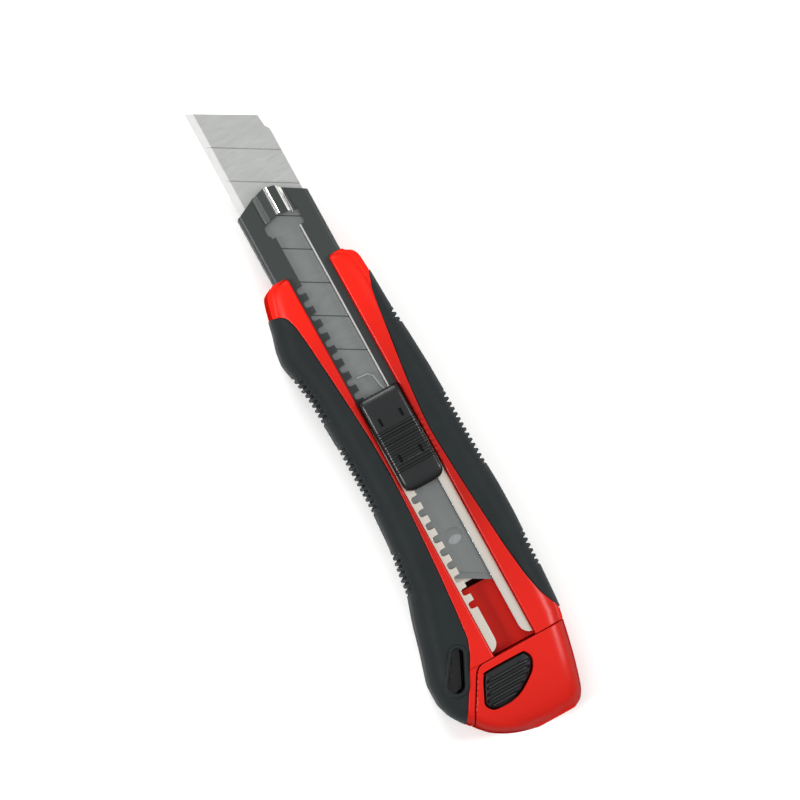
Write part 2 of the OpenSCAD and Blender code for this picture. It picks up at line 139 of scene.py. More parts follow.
# cuts shapes out of a piece, one after another, then lets the cutters go
def cutAway(piece, *shapes, sharpAngle=meshing["smoothBelow"]):
    cutters = []
    for shape in shapes:
        mesh = bpy.data.meshes.new("cutter")
        mesh.from_pydata([tuple(p) for p in np.asarray(shape.points, float) * mm], [], shape.faces)
        tidyMesh(mesh, meshing["cutterSmoothBelow"])
        cutter = bpy.data.objects.new("cutter", mesh)
        bpy.context.scene.collection.objects.link(cutter)
        cutters.append(cutter)
        cut = piece.modifiers.new("cut", "BOOLEAN")
        cut.object = cutter
        cut.operation = "DIFFERENCE"
        cut.solver = "MANIFOLD"
    bpy.context.view_layer.update()
    depsgraph = bpy.context.evaluated_depsgraph_get()
    made = bpy.data.meshes.new_from_object(piece.evaluated_get(depsgraph), depsgraph=depsgraph)
    piece.modifiers.clear()
    old = piece.data
    piece.data = made
    made.name = old.name
    bpy.data.meshes.remove(old)
    for cutter in cutters:
        bpy.data.meshes.remove(cutter.data)
    tidyMesh(made, sharpAngle)


def softenEdges(piece, width, angle=35, segments=3):
    bevel = piece.modifiers.new("edge round", "BEVEL")
    bevel.width = width * mm
    bevel.segments = segments
    bevel.limit_method = "ANGLE"
    bevel.angle_limit = math.radians(angle)
    bevel.harden_normals = False
    bevel.use_clamp_overlap = True


# sRGB hex to linear
def hexColour(code):
    channels = [int(code[i:i + 2], 16) / 255 for i in (1, 3, 5)]
    return [c / 12.92 if c <= 0.04045 else ((c + 0.055) / 1.055) ** 2.4 for c in channels] + [1.0]


# adds one node: settings are its inputs or its properties, links are its inputs' sources
def addNode(tree, kind, settings, links):
    node = tree.nodes.new(kind)
    for key, value in settings.items():
        if isinstance(key, int) or key in node.inputs:
            node.inputs[key].default_value = value
        else:
            setattr(node, key, value)
    for key, source in links.items():
        tree.links.new(source, node.inputs[key])
    return node


def startMaterial(name, settings):
    material = bpy.data.materials.new(name)
    material.use_nodes = True
    tree = material.node_tree
    shader = tree.nodes["Principled BSDF"]
    for key, value in settings.items():
        shader.inputs[key].default_value = value
    where = addNode(tree, "ShaderNodeTexCoord", {}, {}).outputs["Object"]
    return material, tree, shader, where


def stretchedPlace(tree, where, scale):
    return addNode(tree, "ShaderNodeMapping", {"Scale": scale}, {"Vector": where}).outputs["Vector"]


# a relief this many millimetres deep
def addBump(tree, shader, height, distance, strength):
    bump = addNode(tree, "ShaderNodeBump", {"Distance": distance * mm, "Strength": strength},
        {"Height": height})
    tree.links.new(bump.outputs["Normal"], shader.inputs["Normal"])


# how a pattern this many millimetres across is written as a noise scale
def perMetre(size):
    return 1 / (size * mm)


noiseSpan = {"From Min": 0.3, "From Max": 0.7}  # nearly all of a noise's values lie between these


redAbs = {
    # tone along the body, with painted shade at the waist beside the pad and a deeper red towards the rear,
    # [x, colour]: the first two are its ends
    "along": [(-67.5, "#b81a10"), (67.5, "#e21c0a"), (-40, "#c21b10"), (-18, "#b8180e"), (-4, "#9c130b"),
        (22, "#a0130b"), (38, "#d41a0a")],
    # the side colour is painted shade multiplied onto steep walls, which also reflect less; slope is the
    # range of upward facing over which both fade out
    "reach": 67.5, "streak": "#f0e6e6", "side": "#c8b4b4", "slope": (0.4, 0.85), "sheen": 0.16,
    "roughness": (0.27, 0.4), "ior": 1.53, "flow": 14, "grain": 0.35, "relief": 0.012, "bump": 0.35,
}


# moulded ABS: glossy on top, with the faint orange peel of a polished mould, red that goes from a bright
# front
#  to a waist darkened with painted shade, faint flow streaks, and side walls darkened with painted shade and
#  given a weaker reflection
def makeMouldedAbs():
    material, tree, shader, where = startMaterial("mouldedAbs", {"IOR": redAbs["ior"]})
    normal = addNode(tree, "ShaderNodeNewGeometry", {}, {}).outputs["Normal"]
    facing = addNode(tree, "ShaderNodeSeparateXYZ", {}, {0: normal}).outputs["Z"]
    slope = {"From Min": redAbs["slope"][0], "From Max": redAbs["slope"][1]}
    sheen = addNode(tree, "ShaderNodeMapRange", {**slope, "To Min": 0.0, "To Max": redAbs["sheen"]},
        {"Value": facing})
    tree.links.new(sheen.outputs["Result"], shader.inputs["Specular IOR Level"])
    # painted shade along the body: the red is darkened at the waist beside the pad and deepened towards the
    # rear
    along = addNode(tree, "ShaderNodeSeparateXYZ", {}, {0: where}).outputs["X"]
    reach = {"From Min": -redAbs["reach"] * mm, "From Max": redAbs["reach"] * mm}
    share = addNode(tree, "ShaderNodeMapRange", reach, {"Value": along})
    shadeAlong = addNode(tree, "ShaderNodeValToRGB", {}, {0: share.outputs["Result"]})
    stops = shadeAlong.color_ramp.elements
    for i, (x, colour) in enumerate(redAbs["along"]):
        stop = stops[i] if i < 2 else stops.new(1.0)
        stop.position = (x / redAbs["reach"] + 1) / 2
        stop.color = hexColour(colour)
    flow = addNode(tree, "ShaderNodeTexNoise", {"Scale": perMetre(redAbs["flow"]), "Detail": 2.0},
        {"Vector": where})
    multiply = {"data_type": "RGBA", "blend_type": "MULTIPLY"}
    tone = addNode(tree, "ShaderNodeMix", {**multiply, 7: hexColour(redAbs["streak"])},
        {0: flow.outputs["Fac"], 6: shadeAlong.outputs["Color"]})
    # painted shade on the side walls: the more steeply a face stands, the more it takes the side colour
    level = addNode(tree, "ShaderNodeMapRange", {**slope, "To Min": 1.0, "To Max": 0.0}, {"Value": facing})
    walls = addNode(tree, "ShaderNodeMix", {**multiply, 7: hexColour(redAbs["side"])},
        {0: level.outputs["Result"], 6: tone.outputs[2]})
    tree.links.new(walls.outputs[2], shader.inputs["Base Color"])
    grain = addNode(tree, "ShaderNodeTexNoise", {"Scale": perMetre(redAbs["grain"]), "Detail": 3.0},
        {"Vector": where})
    low, high = redAbs["roughness"]
    gloss = addNode(tree, "ShaderNodeMapRange", {**noiseSpan, "To Min": low, "To Max": high},
        {"Value": grain.outputs["Fac"]})
    tree.links.new(gloss.outputs["Result"], shader.inputs["Roughness"])
    addBump(tree, shader, grain.outputs["Fac"], redAbs["relief"], redAbs["bump"])
    return material


rubber = {"colour": "#171b1c", "lightened": "#212627", "sheen": 0.12, "roughness": (0.52, 0.7), "ior": 1.5,
    "patches": 9, "grain": 0.28, "relief": 0.05, "bump": 0.5}


# overmoulded rubber: matt, with a spark-eroded grain and paler patches of wear
def makeMouldedRubber():
    material, tree, shader, where = startMaterial("mouldedRubber", {"IOR": rubber["ior"],
        "Specular IOR Level": rubber["sheen"]})
    patches = addNode(tree, "ShaderNodeTexNoise", {"Scale": perMetre(rubber["patches"]), "Detail": 4.0,
        "Roughness": 0.6}, {"Vector": where})
    tone = addNode(tree, "ShaderNodeMix", {"data_type": "RGBA", 6: hexColour(rubber["colour"]),
        7: hexColour(rubber["lightened"])}, {0: patches.outputs["Fac"]})
    tree.links.new(tone.outputs[2], shader.inputs["Base Color"])
    grain = addNode(tree, "ShaderNodeTexNoise", {"Scale": perMetre(rubber["grain"]), "Detail": 2.0},
        {"Vector": where})
    low, high = rubber["roughness"]
    matt = addNode(tree, "ShaderNodeMapRange", {**noiseSpan, "To Min": low, "To Max": high},
        {"Value": grain.outputs["Fac"]})
    tree.links.new(matt.outputs["Result"], shader.inputs["Roughness"])
    addBump(tree, shader, grain.outputs["Fac"], rubber["relief"], rubber["bump"])
    return material


acetal = {"colour": "#0c0e0f", "paler": "#141617", "sheen": 0.45, "roughness": 0.33, "ior": 1.48,
    "grain": 0.2, "relief": 0.02, "bump": 0.35}


# moulded acetal: black, waxy and a little shinier than the rubber
def makeMouldedAcetal():
    material, tree, shader, where = startMaterial("mouldedAcetal", {"IOR": acetal["ior"],
        "Roughness": acetal["roughness"], "Specular IOR Level": acetal["sheen"]})
    grain = addNode(tree, "ShaderNodeTexNoise", {"Scale": perMetre(acetal["grain"]), "Detail": 3.0},
        {"Vector": where})
    tone = addNode(tree, "ShaderNodeMix", {"data_type": "RGBA", 6: hexColour(acetal["colour"]),
        7: hexColour(acetal["paler"])}, {0: grain.outputs["Fac"]})
    tree.links.new(tone.outputs[2], shader.inputs["Base Color"])
    addBump(tree, shader, grain.outputs["Fac"], acetal["relief"], acetal["bump"])
    return material


# the dark colour is a painted dark reflection on the front of the sheet, fading in from x 14 to 24 mm; the
# band colour is a painted highlight
channelSteel = {"bright": "#f4ece0", "dark": "#252a29", "paintedHighlight": "#e6e5e2", "from": 14, "to": 24,
    "bandEdge": 0.06, "frontDulling": 0.88, "frontRoughness": 0.5, "roughness": (0.22, 0.36), "grain": 0.09,
    "drawnOut": (0.02, 1, 1), "relief": 0.004, "bump": 0.4}


# rolled sheet: bright at the rear and dark towards the nose, where the dark is a painted dark reflection and
# the metal is dulled,
#  fine rolling lines lengthwise, and painted highlights along narrow bands, each [middle, half its width]
#  across the knife
def makeRolledSteel(name, bands):
    material, tree, shader, where = startMaterial(name, {})
    across = addNode(tree, "ShaderNodeSeparateXYZ", {}, {0: where}).outputs["Y"]
    paintedHighlight = None
    # painted highlights: narrow bands where the sheet takes the pale band colour
    for middle, half in bands:
        away = addNode(tree, "ShaderNodeMath", {"operation": "SUBTRACT", 1: middle * mm}, {0: across})
        near = addNode(tree, "ShaderNodeMath", {"operation": "ABSOLUTE"}, {0: away.outputs[0]})
        edge = {"From Min": (half - channelSteel["bandEdge"]) * mm,
            "From Max": (half + channelSteel["bandEdge"]) * mm}
        band = addNode(tree, "ShaderNodeMapRange", {**edge, "To Min": 1.0, "To Max": 0.0},
            {"Value": near.outputs[0]}).outputs["Result"]
        paintedHighlight = band if paintedHighlight is None else addNode(tree, "ShaderNodeMath", {"operation": "MAXIMUM"},
            {0: paintedHighlight, 1: band}).outputs[0]
    along = addNode(tree, "ShaderNodeSeparateXYZ", {}, {0: where}).outputs["X"]
    # painted dark reflection: from here towards the nose the sheet takes the dark colour
    fade = {"From Min": channelSteel["from"] * mm, "From Max": channelSteel["to"] * mm}
    front = addNode(tree, "ShaderNodeMapRange", fade, {"Value": along})
    lines = addNode(tree, "ShaderNodeTexNoise", {"Scale": perMetre(channelSteel["grain"]), "Detail": 3.0},
        {"Vector": stretchedPlace(tree, where, channelSteel["drawnOut"])})
    tone = addNode(tree, "ShaderNodeMix", {"data_type": "RGBA", 6: hexColour(channelSteel["bright"]),
        7: hexColour(channelSteel["dark"])}, {0: front.outputs["Result"]})
    # painted highlight: the pale band colour is laid over the tone along the bands
    lightened = addNode(tree, "ShaderNodeMix", {"data_type": "RGBA", 7: hexColour(channelSteel["paintedHighlight"])},
        {0: paintedHighlight, 6: tone.outputs[2]})
    tree.links.new(lightened.outputs[2], shader.inputs["Base Color"])
    # the metal is dulled where the dark reflection is painted, but not on the painted highlight bands
    dulledFront = addNode(tree, "ShaderNodeMath", {"operation": "MULTIPLY_ADD", 1: -channelSteel["frontDulling"], 2: 1.0},
        {0: front.outputs["Result"]})
    bare = addNode(tree, "ShaderNodeMath", {"operation": "MAXIMUM"}, {0: dulledFront.outputs[0], 1: paintedHighlight})
    tree.links.new(bare.outputs[0], shader.inputs["Metallic"])
    low, high = channelSteel["roughness"]
    rough = addNode(tree, "ShaderNodeMapRange", {**noiseSpan, "To Min": low, "To Max": high},
        {"Value": lines.outputs["Fac"]})
    matt = addNode(tree, "ShaderNodeMix", {"data_type": "FLOAT", 2: channelSteel["frontRoughness"]},
        {0: bare.outputs[0], 3: rough.outputs["Result"]})
    tree.links.new(matt.outputs[0], shader.inputs["Roughness"])
    addBump(tree, shader, lines.outputs["Fac"], channelSteel["relief"], channelSteel["bump"])
    return material


# the darker grey is painted shade for the stretch of blade kept in the channel
blade = {"face": "#bec0bf", "paler": "#cbccc9", "edge": "#e6e6e4", "edgeFrom": 6.9, "edgeBlend": 0.1,
    "channelShade": "#8a8e8d", "shadeTo": 86, "shadeBlend": 3, "roughness": (0.3, 0.44), "stain": 6, "grind": 0.12,
    "groundAcross": (1, 0.03, 1), "relief": 0.003, "bump": 0.35}


# ground carbon tool steel: grey faces with grinding lines across the blade, and a paler honed bevel.
# Painted shade darkens the stretch that is kept in the channel, under the lips
def makeGroundSteel():
    material, tree, shader, where = startMaterial("groundToolSteel", {"Metallic": 1.0})
    across = addNode(tree, "ShaderNodeSeparateXYZ", {}, {0: where}).outputs["Y"]
    bevel = {"From Min": (blade["edgeFrom"] - blade["edgeBlend"]) * mm,
        "From Max": (blade["edgeFrom"] + blade["edgeBlend"]) * mm}
    honed = addNode(tree, "ShaderNodeMapRange", bevel, {"Value": across})
    grind = addNode(tree, "ShaderNodeTexNoise", {"Scale": perMetre(blade["grind"]), "Detail": 2.0},
        {"Vector": stretchedPlace(tree, where, blade["groundAcross"])})
    stain = addNode(tree, "ShaderNodeTexNoise", {"Scale": perMetre(blade["stain"]), "Detail": 4.0},
        {"Vector": where})
    face = addNode(tree, "ShaderNodeMix", {"data_type": "RGBA", 6: hexColour(blade["face"]),
        7: hexColour(blade["paler"])}, {0: stain.outputs["Fac"]})
    along = addNode(tree, "ShaderNodeSeparateXYZ", {}, {0: where}).outputs["X"]
    # painted shade over the stretch of blade that is kept in the channel
    kept = {"From Min": (blade["shadeTo"] - blade["shadeBlend"]) * mm, "From Max": blade["shadeTo"] * mm}
    channelShade = addNode(tree, "ShaderNodeMapRange", {**kept, "To Min": 1.0, "To Max": 0.0}, {"Value": along})
    shadedFace = addNode(tree, "ShaderNodeMix", {"data_type": "RGBA", 7: hexColour(blade["channelShade"])},
        {0: channelShade.outputs["Result"], 6: face.outputs[2]})
    tone = addNode(tree, "ShaderNodeMix", {"data_type": "RGBA", 7: hexColour(blade["edge"])},
        {0: honed.outputs["Result"], 6: shadedFace.outputs[2]})
    tree.links.new(tone.outputs[2], shader.inputs["Base Color"])
    low, high = blade["roughness"]
    rough = addNode(tree, "ShaderNodeMapRange", {**noiseSpan, "To Min": low, "To Max": high},
        {"Value": grind.outputs["Fac"]})
    tree.links.new(rough.outputs["Result"], shader.inputs["Roughness"])
    addBump(tree, shader, grind.outputs["Fac"], blade["relief"], blade["bump"])
    return material


plated = {"colour": "#c3c5c6", "dull": "#a4a7a9", "roughness": (0.18, 0.4), "mottle": 1.2,
    "relief": 0.004, "bump": 0.3}


# zinc-plated and spring steel: bright, with a faint mottle
def makePlatedSteel():
    material, tree, shader, where = startMaterial("platedSteel", {"Metallic": 1.0})
    mottle = addNode(tree, "ShaderNodeTexNoise", {"Scale": perMetre(plated["mottle"]), "Detail": 4.0},
        {"Vector": where})
    tone = addNode(tree, "ShaderNodeMix", {"data_type": "RGBA", 6: hexColour(plated["colour"]),
        7: hexColour(plated["dull"])}, {0: mottle.outputs["Fac"]})
    tree.links.new(tone.outputs[2], shader.inputs["Base Color"])
    low, high = plated["roughness"]
    rough = addNode(tree, "ShaderNodeMapRange", {"To Min": low, "To Max": high},
        {"Value": mottle.outputs["Fac"]})
    tree.links.new(rough.outputs["Result"], shader.inputs["Roughness"])
    addBump(tree, shader, mottle.outputs["Fac"], plated["relief"], plated["bump"])
    return material


mouldedAbs = makeMouldedAbs()
mouldedRubber = makeMouldedRubber()
mouldedAcetal = makeMouldedAcetal()
# the bands are painted highlights: on the channel along the slot's edge on the palm side, on the nose bridge
# along its two ridges
rolledSteel = makeRolledSteel("rolledSteel", [(-3.7, 0.22)])
pressedSteel = makeRolledSteel("pressedSteel", [(0.0, 0.4), (-3.25, 0.62)])
groundSteel = makeGroundSteel()
platedSteel = makePlatedSteel()
print("materials made")


shellHigh = boxMm("lower_shell")[1]
upperLow, upperHigh = boxMm("upper_shell")
channelLow, channelHigh = boxMm("blade_channel")
frontX, rearX = shellHigh[0], boxMm("end_cap")[0][0]
capX = -45.5  # front of the end cap, in millimetres
splitZ, bodyTop = shellHigh[2], upperHigh[2]
lipTop = channelHigh[2]

# the form of the body, in millimetres
form = {
    # edges of the body as seen from above, [x, distance from the middle]
    "finger": [(67.5, 11), (66.9, 12.6), (65.8, 13.7), (63.5, 14.4), (59.7, 15.3), (56, 16.1), (52, 17.3),
        (48, 17.8), (44, 17), (36, 15.8), (29, 15.5), (22, 15.2), (2, 15.3), (-8, 15.9), (-15, 17.1),
        (-21, 17.8), (-28, 20.1), (-36, 22.2), (-44, 24.6), (-47, 24.8), (-50, 24.7), (-54, 23.5),
        (-57.5, 21.2), (-60, 19.1), (-62.5, 16.8), (-64.5, 13.8), (-66, 10.6), (-67, 7.4), (-67.5, 4.4)],
    "palm": [(67.5, 9.4), (67, 11.4), (66, 13.3), (64, 14.1), (59, 14.4), (50, 14.7), (40, 15.5), (30, 16.1),
        (22, 16.3), (0, 16.8), (-8, 17.2), (-15, 17.1), (-30, 16.5), (-36, 16.2), (-42, 15.8), (-46, 15),
        (-50, 14.2), (-55, 13.1), (-60, 11.8), (-64, 10.6), (-66, 9.4), (-67, 8.2), (-67.5, 6.6)],
    "top": [(67.5, 18), (60, 18.4), (40, 19), (10, 19.4), (-30, 19.4), (-46, 19.1), (-56, 18.3), (-62, 17),
        (-66, 15), (-67.5, 13)],
    # where the rubber starts, [x, distance from the middle]
    "fingerLine": [(-59, 22), (-55, 19.3), (-50, 16.3), (-45, 13.5), (-42, 11.7), (-38, 10.1), (-30, 9.3),
        (-20, 8.5), (-10, 7.9), (0, 7.4), (10, 7.1), (20, 7.4), (30, 8.1), (40, 8.9), (50, 9.8), (55, 10.4),
        (58, 11.3), (59.4, 12.8), (59.9, 14.2), (60.1, 16)],
    "palmLine": [(-44, 17), (-42, 15.3), (-36, 12.7), (-30, 11.3), (-20, 10.1), (-10, 9.3), (0, 8.5),
        (10, 7.9), (15, 7.7), (20, 7.9), (30, 8.8), (40, 10.1), (50, 11.5),
        (55, 12.4), (58.5, 13.5), (59.6, 14.6)],
    # where the cap parts from the body, [x from the front of the cap, distance from the middle]
    "capLine": [(-40, 34.6), (-14, 19.4), (-1.6, 12.17), (-0.8, 11.45), (-0.3, 10.7), (0, 9.9)],
    # rounds as [across, up], and how much of the width and of the height they may take
    "topRound": (6.0, 6.2), "bottomRound": (2.6, 2.4), "roundShare": (0.6, 0.66),
    "crown": 0.5, "sink": 0.05, "inside": 0.04, "redInset": 0.22, "skin": 1.6, "prong": 11.6,
    "flatPoints": 22, "roundPoints": 26, "wallPoints": 6,
}


tableStep = 0.1  # millimetres between the values of a smoothed table


# a table of [x, value] points, blurred so that its corners become round
def smoothTable(points, blur):
    points = sorted(points)
    xs = np.arange(points[0][0], points[-1][0] + tableStep / 2, tableStep)
    ys = np.interp(xs, *zip(*points))
    half = int(3 * blur / tableStep)
    weights = np.exp(-0.5 * (np.arange(-half, half + 1) * tableStep / blur) ** 2)
    weights /= weights.sum()
    padded = np.r_[2 * ys[0] - ys[half:0:-1], ys, 2 * ys[-1] - ys[-2:-half - 2:-1]]
    return xs, np.convolve(padded, weights, "valid")


blurs = {"finger": 0.6, "palm": 0.6, "fingerLine": 0.5, "palmLine": 0.5, "top": 2.0}
tables = {key: smoothTable(form[key], blur) for key, blur in blurs.items()}
widest = {"finger": boxMm("upper_finger_grip")[1][1], "palm": -boxMm("upper_palm_grip")[0][1]}
for key, most in widest.items():
    tables[key] = (tables[key][0], np.minimum(tables[key][1], most - form["inside"]))


def valueAt(key, x):
    return float(np.interp(x, *tables[key]))


# the parting line of the cap: straight across, a small corner, then a slope to the finger side
def capLineY(x):
    return float(np.interp(x, *zip(*[(capX + dx, y) for dx, y in form["capLine"]])))


# half a cross-section's outer path, from the middle of the top or bottom to the split, as (distance out, z)
def sidePath(x, side, upper):
    edgeY = max(valueAt(side, x), form["prong"]) if x > 0 else valueAt(side, x)
    top = valueAt("top", x) - form["sink"]
    centre = (valueAt("finger", x) - valueAt("palm", x)) / 2 * (1 if side == "finger" else -1)
    half = edgeY - centre
    a, b = form["topRound"] if upper else form["bottomRound"]
    a = min(a, half * form["roundShare"][0])
    b = min(b, (top - splitZ) * form["roundShare"][1])
    theta = np.linspace(0, math.pi / 2, form["roundPoints"])[1:]
    inner = edgeY - a
    flat = np.linspace(centre, inner, form["flatPoints"])
    count = form["wallPoints"]
    if upper:
        drop = form["crown"] * np.clip((flat - centre) / max(inner - centre, 1), 0, 1) ** 2
        flatZ = top - drop
        arc = np.c_[inner + a * np.sin(theta), top - form["crown"] - b * (1 - np.cos(theta))]
        wall = np.c_[np.full(count, edgeY), np.linspace(top - form["crown"] - b, splitZ, count + 1)[1:]]
    else:
        flatZ = np.zeros_like(flat)
        arc = np.c_[inner + a * np.sin(theta), b * (1 - np.cos(theta))]
        wall = np.c_[np.full(count, edgeY), np.linspace(b, splitZ, count + 1)[1:]]
    return np.r_[np.c_[flat, flatZ], arc, wall]


# moves a path inwards by a depth, which may differ from point to point
def sunk(path, depth, upper):
    step = np.gradient(path, axis=0)
    step /= np.linalg.norm(step, axis=1)[:, None] + 1e-12
    normal = np.c_[step[:, 1], -step[:, 0]] * (1 if upper else -1)
    depth = np.broadcast_to(depth, len(path))
    return path + normal * depth[:, None]


# the way along a path to each of its points
def lengthsOf(path):
    return np.r_[0, np.cumsum(np.linalg.norm(np.diff(path, axis=0), axis=1))]


def pointsAt(path, along, at):
    return np.c_[np.interp(at, along, path[:, 0]), np.interp(at, along, path[:, 1])]


# the stretch of a path between two distances out, or to its end, with closer points near both ends
def stretchOf(path, fromY, toY, count, endZ=None, squeeze=1.0):
    along = lengthsOf(path)
    ys = np.maximum.accumulate(path[:, 0] + np.arange(len(path)) * 1e-7)  # always rises a little
    start = np.interp(fromY, ys, along)
    end = along[-1] if toY is None else np.interp(toY, ys, along)
    share = np.linspace(0, 1, count)
    share = (1 - np.cos(share * math.pi)) / 2 * (1 - squeeze) + share * squeeze
    at = start + (end - start) * share
    found = pointsAt(path, along, at)
    if endZ is not None:
        found[-1, 1] = endZ
    return found, at - start, end - at


# depth that rounds an edge of this radius, this far from it
def roundDepth(distance, radius):
    if np.max(radius) <= 0:
        return np.zeros_like(distance)
    gap = np.clip(radius - distance, 0, radius)
    return radius - np.sqrt(np.maximum(radius ** 2 - gap ** 2, 0))


endSteps = (0.04, 0.1, 0.2, 0.35, 0.6, 0.9, 1.3, 1.8)  # closer sections where an end is rounded
closest = 0.03


# where the cross-sections of a long piece stand, closer in the stretches that need it
def stationsOf(start, end, step, fine=(), fineStep=0.12):
    xs = list(np.arange(start, end, step)) + [end]
    for low, high in fine:
        xs += list(np.arange(low, high, fineStep))
    for d in endSteps:
        xs += [start + d, end - d]
    xs = sorted(set(round(x, 4) for x in xs if start <= x <= end))
    kept = [xs[0]]
    for x in xs[1:]:
        if x - kept[-1] > closest:
            kept.append(x)
    return kept


# points given as (distance out, z) on one side of the knife, at one x
def placed(x, ring, side):
    sign = 1 if side == "finger" else -1
    ring = np.asarray(ring)
    return np.c_[np.full(len(ring), x), ring[:, 0] * sign, ring[:, 1]]


grip = {
    # groups of ribs, [from x, to x]
    "ribs": {"finger": [(28.6, 44.2), (1.6, 22.4), (-21.6, -8.8)],
        "palm": [(-0.4, 22.4), (42.8, 48.4), (-30.4, -19.8)]},
    "pitch": 1.55, "depth": 0.9, "share": 0.55, "blunt": 0.6, "groupFade": 1.6,
    "ribTop": 16.6, "topFade": 1.4, "ribLow": 0.3, "lowFade": 0.8,
    "edge": 0.42, "splitEdge": 0.12, "gap": 0.03, "lap": 0.05, "fullWidth": 2.2, "thinning": 0.8,
    "least": 0.1, "searchFrom": 0.2, "searchStep": 0.05, "step": 0.8, "tip": 2.5,
    "outerPoints": 44, "innerPoints": 10, "smoothBelow": 50,
}


def ribDepth(x, z, side):
    depth = np.zeros_like(z)
    for low, high in grip["ribs"][side]:
        fade = np.clip(min(x - low, high - x) / grip["groupFade"], 0, 1)
        phase = ((x - low) / grip["pitch"]) % 1
        wave = np.clip(1 - np.abs(phase - 0.5) / (grip["share"] / 2), 0, 1) ** grip["blunt"]
        depth += grip["depth"] * fade * wave
    below = np.clip((grip["ribTop"] - z) / grip["topFade"], 0, 1)
    above = np.clip((z - grip["ribLow"]) / grip["lowFade"], 0, 1)
    return depth * (below * above)


def gripWidth(x, side):
    return valueAt(side, x) - valueAt(side + "Line", x)


# the rubber thins out where it runs to a point
def gripShare(x, side):
    return float(np.clip(gripWidth(x, side) / grip["fullWidth"], 0, 1)) ** grip["thinning"]


def gripShape(side, upper):
    xs = tables[side + "Line"][0]
    tried = np.arange(xs[0] + grip["searchFrom"], xs[-1], grip["searchStep"])
    wide = [x for x in tried if gripWidth(x, side) > grip["least"]]
    start, end = wide[0], wide[-1]
    seam = splitZ + (grip["gap"] if upper else -grip["gap"])
    rings = []
    for x in stationsOf(start, end, grip["step"], grip["ribs"][side] + [(end - grip["tip"], end)]):
        share = gripShare(x, side)
        path = sidePath(x, side, upper)
        line = valueAt(side + "Line", x) + grip["lap"]
        outer, fromStart, fromEnd = stretchOf(path, line, None, grip["outerPoints"])
        depth = roundDepth(fromStart, grip["edge"] * share) + roundDepth(fromEnd, grip["splitEdge"]) \
            + ribDepth(x, outer[:, 1], side) * share
        outer = sunk(outer, depth, upper)
        outer[-1, 1] = seam
        under = sunk(path, form["skin"] * share, upper)
        inner, _, _ = stretchOf(under, line, None, grip["innerPoints"], seam)
        rings.append(placed(x, np.r_[outer, inner[::-1]], side))
    return Shape().addRings(rings)


lanyard = {"wide": (-47.2, 18.4), "narrow": (-40.2, 14.3), "wideRadius": 2.5, "narrowRadius": 1.8,
    "sleeve": 0.6, "sleeveFit": 0.02, "sleeveFrom": 1.2, "sleeveSink": 2.2, "arcPoints": 26, "cutPoints": 20,
    "lip": 0.75, "lipGrow": 0.25, "lipWidth": 0.9, "lipSink": 0.22, "lipPoints": 12, "lipSmoothBelow": 60,
    "cut": (-2, 25)}


# the drop-shaped outline of the hole, made larger by an amount
def teardrop(grow, count):
    wide, narrow = np.array(lanyard["wide"]), np.array(lanyard["narrow"])
    wideRadius, narrowRadius = lanyard["wideRadius"], lanyard["narrowRadius"]
    axis = wide - narrow
    run = np.linalg.norm(axis)
    angle = math.atan2(axis[1], axis[0])
    lean = math.acos((wideRadius - narrowRadius) / run)
    points = []
    for centre, radius, first, last in ((wide, wideRadius, -(math.pi - lean), math.pi - lean),
            (narrow, narrowRadius, math.pi - lean, math.pi + lean)):
        for t in np.linspace(first, last, count):
            points.append(centre + (radius + grow) * np.array([math.cos(angle + t), math.sin(angle + t)]))
    return np.array(points)


def holeCutter(grow=0):
    return Shape().addPrism(teardrop(grow, lanyard["cutPoints"]), *lanyard["cut"])


# the rubber that lines the hole, between the two skins
def sleeveShape(upper):
    fit = lanyard["sleeveFit"]
    outer = teardrop(lanyard["sleeve"] - fit, lanyard["arcPoints"])
    inner = teardrop(0, lanyard["arcPoints"])
    low, high = lanyard["sleeveFrom"], splitZ - fit
    if upper:
        low, high = splitZ + fit, bodyTop - lanyard["sleeveSink"]
    return Shape().addLoop([np.c_[line, np.full(len(line), z)] for line, z in
        ((outer, low), (outer, high), (inner, high), (inner, low))])


# a rounded lip that stands just proud round the hole
def lipShape():
    loop = teardrop(lanyard["lipGrow"], lanyard["arcPoints"])
    rings = []
    centre = loop.mean(0)
    for i, p in enumerate(loop):
        tangent = loop[(i + 1) % len(loop)] - loop[i - 1]
        tangent = tangent / np.linalg.norm(tangent)
        outward = np.array([tangent[1], -tangent[0]])
        if outward @ (p - centre) < 0:
            outward = -outward
        path = sidePath(p[0], "finger", True)
        z = float(np.interp(p[1], path[:, 0], path[:, 1])) - lanyard["lipSink"]
        turn = np.linspace(0, 2 * math.pi, lanyard["lipPoints"], endpoint=False)
        rings.append(np.array([[*(p + outward * lanyard["lip"] * lanyard["lipWidth"] * math.cos(t)),
            z + lanyard["lip"] * math.sin(t)] for t in turn]))
    return Shape().addLoop(rings)


for side in ("finger", "palm"):
    for upper in (True, False):
        node = ("upper_" if upper else "lower_") + side + "_grip"
        piece = makePiece(node.replace("_grip", "_rubber"), gripShape(side, upper), node,
            mouldedRubber, [node], grip["smoothBelow"])
        if side == "finger":
            cutAway(piece, holeCutter(), sharpAngle=grip["smoothBelow"])
            makePiece("lanyard_sleeve_" + ("top" if upper else "foot"), sleeveShape(upper), node,
                mouldedRubber)
        if side == "finger" and upper:
            makePiece("lanyard_lip", lipShape(), node, mouldedRubber, [],
                lanyard["lipSmoothBelow"])
print("rubber grips made")


